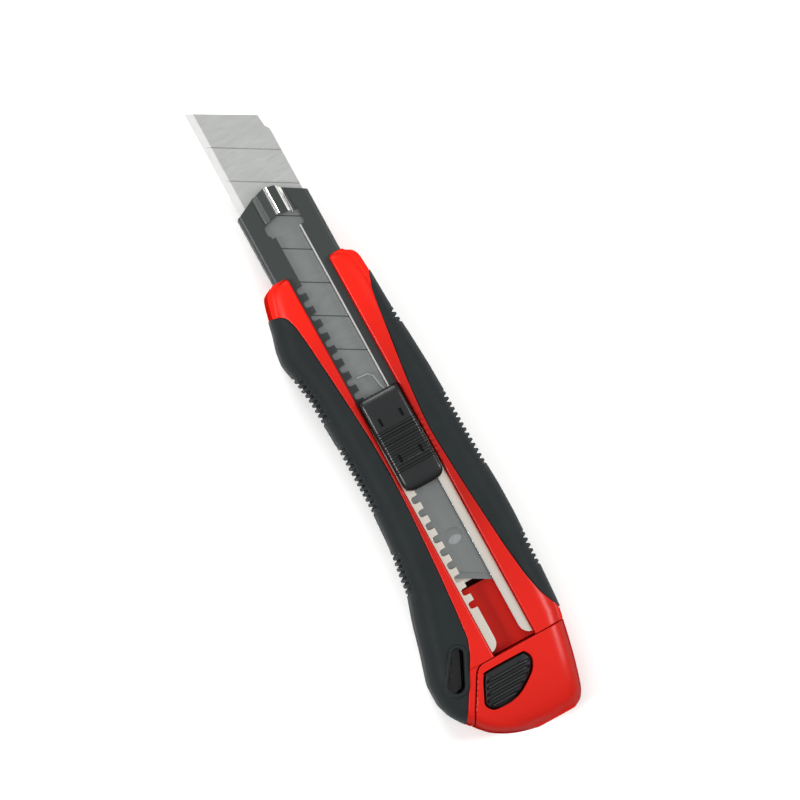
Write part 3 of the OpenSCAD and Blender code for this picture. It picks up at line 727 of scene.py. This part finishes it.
shell = {"openingY": 6.1, "openingEdge": 0.8, "lineEdge": 0.28, "frontRound": 1.3, "rearRound": 0.28,
    "mouthRound": 1.1, "tunnelY": 10.15, "tunnelWall": 0.15, "roof": 0.12, "besideTop": 0.6, "besideLow": 0.7,
    "overLip": 0.3, "leastRubber": 0.7, "leastRed": 0.25, "lap": 0.05, "gap": 0.02, "capGap": 0.12,
    "facePoints": 22, "squeeze": 0.4, "corePoints": 26, "step": 0.9, "tip": (57, 60.6), "tipStep": 0.15,
    "keelY": 0.4, "ledge": 0.1, "troughY": 8.8, "floorZ": 2.0, "strapY": 8.95, "strapX": (0.3, 19),
    "strapUnder": 0.5, "smoothBelow": 40}
tail = {"from": -58.6, "step": 0.7, "lead": 0.15, "gap": 0.1, "least": 0.5}


def endDepth(x, start, end, startRound, endRound):
    fromStart, fromEnd = np.array([x - start]), np.array([end - x])
    return float(roundDepth(fromStart, startRound)[0] + roundDepth(fromEnd, endRound)[0])


# one side rail of a shell: red surface, step down under the rubber, side, split face and tunnel wall
def railRing(x, side, upper, innerY, extra, besideChannel=True):
    share = gripShare(x, side) if gripWidth(x, side) > grip["least"] else 0.0
    path = sidePath(x, side, upper)
    line = min(valueAt(side + "Line", x), valueAt(side, x) - shell["leastRubber"])
    line = max(line, innerY + shell["leastRed"])
    red = sunk(path, form["redInset"], upper)
    face, fromStart, fromEnd = stretchOf(red, innerY, line, shell["facePoints"], squeeze=shell["squeeze"])
    depth = roundDepth(fromStart, shell["openingEdge"] if upper else 0) \
        + roundDepth(fromEnd, shell["lineEdge"] * share)
    face = sunk(face, depth + extra, upper)
    face[:, 0] = np.maximum(face[:, 0], innerY)
    coreDepth = form["redInset"] + (form["skin"] + shell["lap"] - form["redInset"]) * share + extra
    seam = splitZ + (shell["gap"] if upper else -shell["gap"])
    core, _, _ = stretchOf(sunk(path, coreDepth, upper), line, None, shell["corePoints"], seam)
    if besideChannel:
        # the walls beside the channel keep their thickness at the prongs' rounded ends
        core[:, 1] = (np.minimum if upper else np.maximum).accumulate(core[:, 1])
        if upper:
            face[:, 1] = np.maximum(face[:, 1], lipTop + shell["overLip"])
            core[0, 1] = max(core[0, 1], lipTop + shell["overLip"])
        for part in (core,) if upper else (face, core):
            z = part[:, 1]
            beside = z < lipTop + shell["besideTop"] if upper else z > channelLow[2] - shell["besideLow"]
            part[beside, 0] = np.maximum(part[beside, 0], shell["tunnelY"] + shell["tunnelWall"])
    return face, core


bodyStart, bodyEnd = capX + shell["capGap"], frontX


def bodyStations():
    return stationsOf(bodyStart, bodyEnd, shell["step"], [shell["tip"]], shell["tipStep"])


def upperRail(side):
    rings = []
    tunnelY, roofZ = shell["tunnelY"], lipTop + shell["roof"]
    for x in bodyStations():
        extra = endDepth(x, bodyStart, bodyEnd, shell["rearRound"], shell["frontRound"])
        mouth = shell["openingY"] + endDepth(x, bodyStart, bodyEnd, 0, shell["mouthRound"])
        face, core = railRing(x, side, True, mouth, extra)
        wall = [(tunnelY, splitZ + shell["gap"]), (tunnelY, roofZ), (mouth, roofZ)]
        rings.append(placed(x, np.r_[face, core, wall], side))
    return rings


# the tail beside the cap, from the slanted parting line to the finger edge
def tailRings(upper):
    rings = []
    seam = splitZ + (shell["gap"] if upper else -shell["gap"])
    for x in stationsOf(tail["from"], bodyStart, tail["step"]):
        innerY = capLineY(x - tail["lead"]) + tail["gap"]
        if innerY > valueAt("finger", x) - tail["least"]:
            continue
        face, core = railRing(x, "finger", upper, innerY, 0.0, False)
        rings.append(placed(x, np.r_[face, core, [(innerY, seam)]], "finger"))
    return rings


def lowerRings():
    rings = []
    ledge = channelLow[2] - shell["ledge"]
    trough = [(shell["tunnelY"], splitZ - shell["gap"]), (shell["tunnelY"], ledge), (shell["troughY"], ledge),
        (shell["troughY"], shell["floorZ"])]
    for x in bodyStations():
        extra = endDepth(x, bodyStart, bodyEnd, shell["rearRound"], shell["frontRound"])
        sides = []
        for side in ("finger", "palm"):
            face, core = railRing(x, side, False, shell["keelY"], extra)
            sides.append(placed(x, np.r_[face, core, trough], side))
        rings.append(np.r_[sides[0], sides[1][::-1]])
    return rings


upperBody = Shape()
for side in ("finger", "palm"):
    upperBody.addRings(upperRail(side))
strapLow, strapTop = upperLow[2], boxMm("spare_blade_lower")[0][2] - shell["strapUnder"]
strapBack, strapFront = shell["strapX"]
upperBody.addBox((capX + strapBack, -shell["strapY"], strapLow),
    (capX + strapFront, shell["strapY"], strapTop))
shells = {
    "upper_body": ("upper_shell", upperBody, ["upper_shell"]),
    "lower_body": ("lower_shell", Shape().addRings(lowerRings()), ["lower_shell"]),
    "upper_tail": ("upper_shell", Shape().addRings(tailRings(True)), []),
    "lower_tail": ("lower_shell", Shape().addRings(tailRings(False)), []),
}
for name, (node, shape, replaced) in shells.items():
    piece = makePiece(name, shape, node, mouldedAbs, replaced, shell["smoothBelow"])
    cutAway(piece, holeCutter(lanyard["sleeve"]), sharpAngle=shell["smoothBelow"])
print("shells made")


cap = {
    "edge": 0.3, "rearRound": 2.8, "middleZ": 12.5, "step": 0.6, "rearGap": 0.05, "frontGap": 0.02,
    "cornerBlend": 0.5, "leastY": 0.5, "sidePoints": 40, "smoothBelow": 40,
    # these stand from the front of the cap: hollow, button hole's flare [z, grown by], arm window and rails
    "cavity": [(-1.8, -10.8), (-1.8, 9.6), (-2.4, 10.4), (-12.5, 16), (-14.8, 12), (-15.8, 5), (-15.8, -5),
        (-14.5, -8.2), (-8, -10.2)],
    "cavityZ": (2, 15.6), "flare": [(14, 0), (17.3, 0), (18.0, 0.05), (21, 0.45)],
    "armWindow": ((-3, -3, 2.2), (1, 3, 5.2)),
    "railX": (-2, 4.8), "railY": 6.4, "railHalf": 2.15, "railZ": (2.15, 6.1), "railEdge": 0.3,
}


# the smaller of the values and a limit, with the corner between them rounded
def softMin(values, limit, blend):
    low = np.minimum(values, limit)
    near = np.clip(blend - np.abs(values - limit), 0, blend)
    return low - near * near / (4 * blend)


def capRings():
    rings = []
    start, end = rearX, capX - cap["frontGap"]
    for x in stationsOf(start + cap["rearGap"], end, cap["step"]):
        extra = float(roundDepth(np.array([end - x]), cap["edge"])[0])
        reach = np.clip((x - start) / cap["rearRound"], 0, 1)
        squash = math.sqrt(max(1 - (1 - reach) ** 2, 0.0))
        parts = {}
        for side in ("finger", "palm"):
            for upper in (True, False):
                path = sunk(sidePath(x, side, upper), form["redInset"] + extra, upper)
                if side == "finger":
                    path[:, 0] = softMin(path[:, 0], max(capLineY(x), cap["leastY"]), cap["cornerBlend"])
                along = lengthsOf(path)
                path = pointsAt(path, along, np.linspace(0, along[-1], cap["sidePoints"]))
                path[:, 1] = cap["middleZ"] + (path[:, 1] - cap["middleZ"]) * squash
                parts[side, upper] = placed(x, path, side)
        rings.append(np.r_[parts["finger", True][:-1], parts["finger", False][::-1][:-1],
            parts["palm", False][:-1], parts["palm", True][::-1][:-1]])
    return rings


# a point given from the front of the cap
def fromCap(point):
    return (capX + point[0], *point[1:])


button = {
    "line": [(-12.1, 8.3), (-11.9, 12.2), (-11.0, 13.5), (-9.7, 14.0), (-8, 13.3), (-4.5, 11.6), (-3, 10.6),
        (-2.5, 9.6), (-2.5, -0.1), (-2.9, -1.3), (-4, -2.0), (-5.5, -1.9), (-7.5, -0.7), (-9.5, 1.8),
        (-11.3, 4.9)],
    "gap": 0.3, "sink": 0.12, "lowZ": 14.7, "smoothBelow": 42,
    # the rounded edge, [below the cap's top, inset], then rings to the middle of the face
    "edge": [(3.6, 0), (1.3, 0), (1.05, 0.05), (0.9, 0.15), (0.8, 0.35)],
    "face": 0.35, "faceDepth": 0.92, "faceRings": (0.75, 0.5, 0.25, 0.04),
    "ribs": 5, "firstRib": -11.0, "pitch": 1.55, "rib": 0.8, "ribRise": 1.0, "ribEnd": 0.6, "ribInset": 0.15,
    "ribBlunt": 0.7, "ribBack": 0.02, "ribUnder": 0.6, "acrossPoints": 9, "alongPoints": 14,
    # two feet, the stem and the arm, from the front of the cap
    "blocks": [((-6.5, -3.8, 14.65), (-3.5, 0.2, 15.75)), ((-13.4, 6, 14.65), (-10.4, 11, 15.75)),
        ((-4.6, -1.9, 3.75), (-2.8, 2.3, 15)), ((-4.6, -2.4, 3.7), (8.3, 2.4, 4.7))],
    "hook": [(6.8, 4.6), (8.25, 4.6), (8.2, 5.2)], "hookTip": (7.3, 6.8), "hookHalf": 2.35, "hookBelow": 0.35,
}


# closed smooth curve through given points
def smoothLoop(points, perSpan=6):
    points = np.array(points, float)
    n, out = len(points), []
    for i in range(n):
        p0, p1, p2, p3 = (points[(i + k - 1) % n] for k in range(4))
        for t in np.linspace(0, 1, perSpan, endpoint=False):
            out.append(0.5 * (2 * p1 + (p2 - p0) * t + (2 * p0 - 5 * p1 + 4 * p2 - p3) * t ** 2
                + (3 * p1 - p0 - 3 * p2 + p3) * t ** 3))
    return np.array(out)


def grown(loop, amount):
    after, before = np.roll(loop, -1, 0), np.roll(loop, 1, 0)
    tangent = after - before
    tangent /= np.linalg.norm(tangent, axis=1)[:, None]
    normal = np.c_[tangent[:, 1], -tangent[:, 0]]
    if ((loop - loop.mean(0)) * normal).sum() < 0:
        normal = -normal
    return loop + normal * amount


def capTop(x, y):
    path = sunk(sidePath(x, "finger" if y >= 0 else "palm", True), form["redInset"], True)
    return float(np.interp(abs(y), path[:, 0], path[:, 1]))


buttonLoop = smoothLoop([fromCap(p) for p in button["line"]])
capPiece = makePiece("cap_shell", Shape().addRings(capRings()), "end_cap", mouldedAbs,
    ["end_cap"], cap["smoothBelow"])
hollow = Shape().addPrism([fromCap(p) for p in cap["cavity"]], *cap["cavityZ"])
hole = grown(buttonLoop, button["gap"])
flare = [np.array([[*p, z] for p in grown(hole, more)]) for z, more in cap["flare"]]
armWindow = Shape().addBox(*[fromCap(p) for p in cap["armWindow"]])
cutAway(capPiece, hollow, Shape().addRings(flare), armWindow, sharpAngle=cap["smoothBelow"])
rails = Shape()
for sign in (-1, 1):
    corners = zip(cap["railX"], (-cap["railHalf"], cap["railHalf"]), cap["railZ"])
    rails.addBox(*[fromCap((x, sign * cap["railY"] + y, z)) for x, y, z in corners])
softenEdges(makePiece("cap_rails", rails, "end_cap", mouldedAbs), cap["railEdge"])
print("end cap made")


# where a closed outline crosses one x, as its lowest and highest y
def crossingOf(loop, x):
    found = []
    for a, b in zip(loop, np.roll(loop, -1, 0)):
        if (a[0] - x) * (b[0] - x) <= 0 and a[0] != b[0]:
            found.append(a[1] + (b[1] - a[1]) * (x - a[0]) / (b[0] - a[0]))
    return min(found), max(found)


def makeButton():
    shape = Shape()
    rings = []
    for depth, inset in button["edge"]:
        ring = grown(buttonLoop, -inset)
        rings.append(np.array([[x, y, capTop(x, y) - depth - button["sink"]] for x, y in ring]))
    rings[0][:, 2] = button["lowZ"]
    middle = buttonLoop.mean(0)
    inner = grown(buttonLoop, -button["face"])
    for share in button["faceRings"]:
        ring = middle + (inner - middle) * share
        rings.append(np.array([[x, y, capTop(x, y) - button["faceDepth"]] for x, y in ring]))
    shape.addRings(rings)
    # ribs across the button, clipped to its outline
    for i in range(button["ribs"]):
        x0 = capX + button["firstRib"] + i * button["pitch"]
        rib = []
        for s in np.linspace(0, math.pi, button["acrossPoints"]):
            x = x0 - math.cos(s) * button["rib"] / 2
            low, high = crossingOf(inner, x)
            ys = np.linspace(low + button["ribInset"], high - button["ribInset"], button["alongPoints"])
            away = np.minimum(ys - ys[0], ys[-1] - ys) / button["ribEnd"]
            ends = np.sqrt(np.clip(1 - (1 - away).clip(0, 1) ** 2, 0, 1))
            rise = button["ribRise"] * math.sin(s) ** button["ribBlunt"]
            rib.append([(x, y, capTop(x, y) - button["ribRise"] + rise * e + button["ribBack"])
                for y, e in zip(ys, ends)])
        # the rib's underside closes it
        shape.addRings([np.array(row + [(x, y, z - button["ribUnder"]) for x, y, z in reversed(row)])
            for row in rib])
    for low, high in button["blocks"]:
        shape.addBox(fromCap(low), fromCap(high))
    hookTop = upperLow[2] - button["hookBelow"]
    outline = button["hook"] + [(x, hookTop) for x in button["hookTip"]]
    shape.addRings([np.array([fromCap((x, y, z)) for x, z in outline])
        for y in (-button["hookHalf"], button["hookHalf"])])
    return shape


makePiece("latch_button", makeButton(), "cap_button", mouldedAcetal, ["cap_button"],
    button["smoothBelow"])
print("button made")


coil = {"radius": 2.3, "wire": 0.25, "turns": 6, "perTurn": 28, "around": 10, "smoothBelow": 60}


def makeCoil():
    springLow, springHigh = boxMm("button_spring")
    middle = (springLow + springHigh) / 2
    low, high = springLow[2], springHigh[2]
    wire, count = coil["wire"], coil["turns"] * coil["perTurn"]
    rings = []
    for i in range(count + 1):
        a = 2 * math.pi * i / coil["perTurn"]
        z = low + wire + (high - low - 2 * wire) * i / count
        rings.append(np.array([[middle[0] + (coil["radius"] + wire * math.cos(b)) * math.cos(a),
            middle[1] + (coil["radius"] + wire * math.cos(b)) * math.sin(a), z + wire * math.sin(b)]
            for b in np.linspace(0, 2 * math.pi, coil["around"], endpoint=False)]))
    makePiece("button_coil", Shape().addRings(rings), "button_spring", platedSteel,
        ["button_spring"], coil["smoothBelow"])


makeCoil()

padLow, padHigh = boxMm("thumb_pad")
pad = {
    "ribs": 8, "firstRib": 5.9, "pitch": 1.55, "ribShare": 0.52, "ribHeight": 0.78, "ribFlat": 1.5,
    "lastRib": 0.3, "corner": 2.6, "frontCorner": 1.0,
    "side": 1.0, "sideDrop": 1.1, "sidePoints": 7, "sink": 0.02,
    # how far the ends drop, and over what length
    "rearDrop": (1.9, 3.2), "frontDrop": (1.3, 2.6),
    # a shallow thumb dish along the ribs: depth, middle, spread
    "dish": (0.35, 12, 5.5), "crown": ((0.5, 0.06), (0, 0.08)),
    "step": 0.4, "ribStep": 0.07, "ribMargin": 0.2,
    "windows": [9.1, 19.8], "windowY": 3.05, "windowHalf": (1.1, 0.4), "windowZ": (3, 1), "smoothBelow": 40,
    "pocketY": 3.7, "pocketX": 0.9, "pocketZ": (1, 0.1),
}


# how much of a quarter round is still to come, this share of its radius from its start
def roundLeft(share):
    return 1 - math.sqrt(max(1 - max(1 - share, 0) ** 2, 0))


def padRings():
    rings = []
    length, half = padHigh[0] - padLow[0], (padHigh[1] - padLow[1]) / 2
    topZ = padHigh[2] - pad["ribHeight"] - pad["sink"]
    ribStart, ribEnd = pad["firstRib"], pad["firstRib"] + pad["ribs"] * pad["pitch"]
    ribs = [(ribStart - pad["ribMargin"], ribEnd + pad["ribMargin"])]
    for x in stationsOf(0, length, pad["step"], ribs, pad["ribStep"]):
        front = length - x
        w = half - pad["corner"] * roundLeft(x / pad["corner"])
        w -= pad["frontCorner"] * roundLeft(front / pad["frontCorner"])
        drop = pad["rearDrop"][0] * roundLeft(x / pad["rearDrop"][1])
        drop += pad["frontDrop"][0] * roundLeft(front / pad["frontDrop"][1])
        depth, middle, spread = pad["dish"]
        dish = depth * math.exp(-((x - middle) / spread) ** 2)
        phase = ((x - ribStart) / pad["pitch"]) % 1
        inRibs = ribStart <= x <= ribEnd - pad["pitch"] * pad["lastRib"]
        rise = 0.0
        if inRibs and phase < pad["ribShare"]:
            rise = pad["ribHeight"] * min(1.0, math.sin(math.pi * phase / pad["ribShare"]) * pad["ribFlat"])
        z = topZ - drop - dish + rise
        edgeZ = z - pad["side"] * pad["sideDrop"]
        ring = [(-w, padLow[2]), (-w, edgeZ)]
        for t in np.linspace(0, math.pi / 2, pad["sidePoints"])[1:]:
            ring.append((-w + pad["side"] * (1 - math.cos(t)), edgeZ + pad["side"] * math.sin(t)))
        ring += [(-w * share, z + lift) for share, lift in pad["crown"]]
        ring += [(-y, zz) for y, zz in reversed(ring[:-1])]
        rings.append(np.array([(padLow[0] + x, y, zz) for y, zz in ring]))
    return rings


padPiece = makePiece("pad_top", Shape().addRings(padRings()), "thumb_pad", mouldedAcetal,
    ["thumb_pad"], pad["smoothBelow"])
openings = Shape()
halfX, halfY = pad["windowHalf"]
under, over = pad["windowZ"]
for dx in pad["windows"]:
    for y in (-pad["windowY"], pad["windowY"]):
        x = padLow[0] + dx
        openings.addBox((x - halfX, y - halfY, padHigh[2] - under), (x + halfX, y + halfY, padHigh[2] + over))
sliderLow, sliderHigh = boxMm("slider_body")
under, over = pad["pocketZ"]
openings.addBox((sliderLow[0] - pad["pocketX"], -pad["pocketY"], padLow[2] - under),
    (sliderHigh[0] + pad["pocketX"], pad["pocketY"], sliderHigh[2] + over))
cutAway(padPiece, openings, sharpAngle=pad["smoothBelow"])
print("pad made")


pawlLow, pawlHigh = boxMm("lock_pawl")
spareHigh = boxMm("spare_blade_upper")[1]
noseX = channelHigh[0]
channel = {
    "fold": 1.3, "sheet": 0.8, "slot": 7.1, "foldPoints": 8, "edge": 0.09, "smoothBelow": 30,
    "notches": 12, "pitch": 3.9, "notch": (1.9, 1.9), "notchCorner": (0.35, 0.5), "notchMouth": 0.1,
    "cutZ": (-1.5, 1), "pawlX": (pawlLow[0] + pawlHigh[0]) / 2,
    # the nose as seen from above, between the two sides, [back from the nose, y]
    "nose": [(-3.6, 9.0), (-1.1, 4), (-0.15, 1.2), (0, 0.5), (-0.1, -0.4), (-0.6, -2.5), (-2.1, -4.2)],
    "noseSides": (-4.3, -5.6), "noseCorner": (-3.9, 0.25), "noseCut": (5, 12, 30),
    # the wide end of the slot at the nose, [back from the nose, y]
    "mouth": [(-12.9, -5.2), (-8.6, -5.2), (-8.6, -4.2), (-9.3, -3.3), (-7.7, -0.3), (-7.6, 1.0), (-8.6, 3.6),
        (-9.6, 5.1), (-11.6, 5.1), (-12.2, 4.6), (-12.9, 4.4)],
    # what is cut from each lip at the rear, [from the rear end, distance out]
    "rear": [(-1, 2.5), (3.7, 2.5), (3.7, 3.55), (2.5, 3.75), (1.5, 4.4), (0.9, 5.2), (0.7, 6.1), (0.7, 8.4),
        (-1, 8.4)],
    "baseCut": 20.5, "baseCutY": 9.1, "baseCutZ": (-1, 1.5),
    # the step in the base that stops the spare blades
    "step": [(-4.0, 9.1), (-1.5, 4), (-0.4, 0.5), (-1.0, -2.5), (-2.5, -4.2), (-5.8, -9.1)],
    "stepBehind": 0.5, "stepRise": 0.2, "stepGap": 0.1, "stepEdge": 0.2, "stepSlant": 18.1, "scoreAngle": 30,
}


# a point given from the nose
def fromNose(point):
    return (noseX + point[0], *point[1:])


def noseOutline():
    w = channelHigh[1]
    finger, palm = channel["noseSides"]
    cornerX, inset = channel["noseCorner"]
    line = [(finger, w), (cornerX, w - inset), *channel["nose"], (palm, -w)]
    return [fromNose(p) for p in line]


# the channel's bent sheet, as the closed outline of its cross-section
def channelProfile():
    outer, low, high = channelHigh[1], channelLow[2], channelHigh[2]
    fold, sheet, half = channel["fold"], channel["sheet"], channel["slot"] / 2
    quarter = np.linspace(0, math.pi / 2, channel["foldPoints"])
    points = []
    for radius, reverse in ((fold, False), (fold - sheet, True)):
        gap = fold - radius
        arc = [(half, high - gap)]
        for t in quarter:
            arc.append((outer - fold + radius * math.sin(t), high - fold + radius * math.cos(t)))
        for t in quarter:
            arc.append((outer - fold + radius * math.cos(t), low + fold - radius * math.sin(t)))
        arc.append((0, low + gap))
        full = arc + [(-y, z) for y, z in reversed(arc[:-1])]
        points += full[::-1] if reverse else full
    return points


def makeChannel():
    rear, floorZ = channelLow[0], channelLow[2]
    profile = channelProfile()
    shape = Shape().addRings([np.array([(x, y, z) for y, z in profile]) for x in (rear, noseX)])
    piece = makePiece("steel_channel", shape, "blade_channel", rolledSteel,
        ["blade_channel"], channel["smoothBelow"])
    cutZ = [lipTop + z for z in channel["cutZ"]]
    notches = Shape()
    width, depth = channel["notch"]
    cornerX, cornerY = channel["notchCorner"]
    edge = channel["slot"] / 2
    base, deep = edge - 1, edge + depth
    for i in range(-channel["notches"], channel["notches"] + 1):
        x = channel["pawlX"] + i * channel["pitch"]
        low, high = x - width / 2, x + width / 2
        notches.addPrism([(low - channel["notchMouth"], base), (high + channel["notchMouth"], base),
            (high, deep - cornerY), (high - cornerX, deep), (low + cornerX, deep),
            (low, deep - cornerY)], *cutZ)
    openings = Shape().addPrism([fromNose(p) for p in channel["mouth"]], *cutZ)
    for s in (-1, 1):
        openings.addPrism([(rear + x, s * y) for x, y in channel["rear"]], *cutZ)
    low, high = channel["baseCutZ"]
    openings.addBox((rear - 1, -channel["baseCutY"], floorZ + low),
        (capX + channel["baseCut"], channel["baseCutY"], floorZ + high))
    finger, palm = channel["noseSides"]
    ahead, side, height = channel["noseCut"]
    beyond = [fromNose(p) for p in ((palm, -side), (ahead, -side), (ahead, side), (finger, side))]
    nose = Shape().addPrism([*noseOutline(), *beyond], 0, height)
    cutAway(piece, notches, openings, nose, sharpAngle=channel["smoothBelow"])
    softenEdges(piece, channel["edge"], angle=40, segments=2)


def makeStep():
    back = spareHigh[0] + channel["stepBehind"]
    front = channel["step"]
    slope = math.tan(math.radians(channel["scoreAngle"]))
    behind = back - slope * channel["stepSlant"]
    outline = [(back, front[0][1]), *[fromNose(p) for p in front], (behind, front[-1][1])]
    step = Shape().addPrism(outline, channelLow[2] + channel["stepRise"], spareHigh[2] + channel["stepGap"])
    piece = makePiece("channel_step", step, "blade_channel", rolledSteel)
    softenEdges(piece, channel["stepEdge"])


makeChannel()
makeStep()

bridge = {
    # across the knife and up from the channel's lips, over the top and back underneath, [y, height]
    "profile": [(-4.5, 0), (-4.5, 0.3), (-4.1, 0.42), (-3.8, 0.6), (-3.4, 1.3), (-3.1, 1.75), (-2.8, 1.92),
        (-2.5, 1.95), (-0.75, 1.95), (-0.4, 1.9), (-0.1, 1.7), (0.2, 1.35), (0.45, 1.1), (0.8, 1.0),
        (2.6, 0.95), (3.0, 0.85), (3.3, 0.6), (3.6, 0.42),
        (4.3, 0.35), (4.4, 0.25), (4.4, 0), (3.0, 0.0), (2.4, 0.5),
        (0.3, 0.6), (-0.8, 1.5), (-2.4, 1.5), (-3.2, 0)],
    "behindNose": 0.12, "back": 7.75, "backSlope": 0.25, "edge": 0.08, "smoothBelow": 45,
}


def makeBridge():
    profile = bridge["profile"]
    noseYs, noseXs = zip(*sorted((y, x) for x, y in noseOutline()))
    ends = [float(np.interp(y, noseYs, noseXs)) - bridge["behindNose"] for y, _ in profile]
    back = [noseX - bridge["back"] - bridge["backSlope"] * abs(y) for y, _ in profile]
    rings = [np.array([(x, y, lipTop + h) for x, (y, h) in zip(xs, profile)]) for xs in (back, ends)]
    piece = makePiece("nose_bridge_plate", Shape().addRings(rings), "nose_bridge",
        pressedSteel, ["nose_bridge"], bridge["smoothBelow"])
    softenEdges(piece, bridge["edge"], angle=50, segments=2)


makeBridge()

# the pieces that keep their CAD shape: material and edge round
finish = {
    "blade": (groundSteel, 0.02),
    "spare_blade_upper": (groundSteel, 0.02),
    "spare_blade_lower": (groundSteel, 0.02),
    "magazine_follower": (platedSteel, 0.08),
    "magazine_spring": (platedSteel, 0.05),
    "carrier_plate": (platedSteel, 0.1),
    "blade_stud": (platedSteel, 0.12),
    "slider_body": (mouldedAcetal, 0.15),
    "lock_spring": (platedSteel, 0.06),
    "lock_pawl": (platedSteel, 0.1),
    "channel_pins": (platedSteel, 0.1),
    "shell_screws": (platedSteel, 0.1),
}
for node, (material, width) in finish.items():
    piece = frame["nodes"][node]
    piece.data.materials.clear()
    piece.data.materials.append(material)
    softenEdges(piece, width, angle=30, segments=2)
print("steel pieces finished")


stage = {"floor": "#fefefd", "size": 3.0, "roughness": 0.85, "ior": 1.45, "world": "#ffffff",
    "horizon": (0.1, 0.9), "side": 0.1, "overhead": 0.68}


# painted board: white and almost without gloss
def makeFloor():
    half = stage["size"] / 2
    mesh = bpy.data.meshes.new("floor")
    corners = [(-half, -half, 0), (half, -half, 0), (half, half, 0), (-half, half, 0)]
    mesh.from_pydata(corners, [], [(0, 1, 2, 3)])
    floor = bpy.data.objects.new("floor", mesh)
    bpy.context.scene.collection.objects.link(floor)
    mesh.materials.append(startMaterial("paintedBoard", {"Roughness": stage["roughness"], "IOR": stage["ior"],
        "Base Color": hexColour(stage["floor"])})[0])


# the room is darker round the sides, so that rounded edges keep their own colour
def makeRoom():
    world = bpy.data.worlds.new("studio")
    world.use_nodes = True
    tree = world.node_tree
    background = tree.nodes["Background"]
    background.inputs["Color"].default_value = hexColour(stage["world"])
    sky = addNode(tree, "ShaderNodeTexCoord", {}, {}).outputs["Generated"]
    height = addNode(tree, "ShaderNodeSeparateXYZ", {}, {0: sky}).outputs["Z"]
    low, high = stage["horizon"]
    room = addNode(tree, "ShaderNodeMapRange", {"From Min": low, "From Max": high, "To Min": stage["side"],
        "To Max": stage["overhead"], "interpolation_type": "SMOOTHSTEP"}, {"Value": height})
    tree.links.new(room.outputs["Result"], background.inputs["Strength"])
    bpy.context.scene.world = world


makeFloor()
makeRoom()

lights = {
    "key": {"at": (0.1, 0.75, 0.75), "size": 0.3, "watts": 8},
    "fill": {"at": (-0.25, -0.85, 0.7), "size": 0.3, "watts": 8},
    "front": {"at": (0.9, -0.1, 0.7), "size": 0.4, "watts": 5},
}
view = {"target": (0.0253, -0.0046, 0.0158), "tilt": 4.0, "turn": 28.75, "across": 0.2094, "distance": 1.3,
    "sensor": 36}
target = Vector(view["target"])
for name, light in lights.items():
    data = bpy.data.lights.new(name, "AREA")
    data.size = light["size"]
    data.energy = light["watts"]
    lamp = bpy.data.objects.new(name, data)
    bpy.context.scene.collection.objects.link(lamp)
    lamp.location = light["at"]
    lamp.rotation_euler = (target - lamp.location).to_track_quat("-Z", "Y").to_euler()


def makeCamera():
    data = bpy.data.cameras.new("camera")
    camera = bpy.data.objects.new("camera", data)
    bpy.context.scene.collection.objects.link(camera)
    tilt, turn = math.radians(view["tilt"]), math.radians(view["turn"])
    back = Vector((0, math.sin(tilt), math.cos(tilt)))
    up = Vector((math.cos(turn), -math.sin(turn), 0))
    right = up.cross(back).normalized()
    up = back.cross(right)
    place = target + back * view["distance"]
    camera.matrix_world = Matrix(((right.x, up.x, back.x, place.x), (right.y, up.y, back.y, place.y),
        (right.z, up.z, back.z, place.z), (0, 0, 0, 1)))
    data.sensor_width = view["sensor"]
    data.lens = data.sensor_width * view["distance"] / view["across"]
    bpy.context.scene.camera = camera


makeCamera()
bpy.context.scene.view_settings.view_transform = "Standard"
print("stage made")
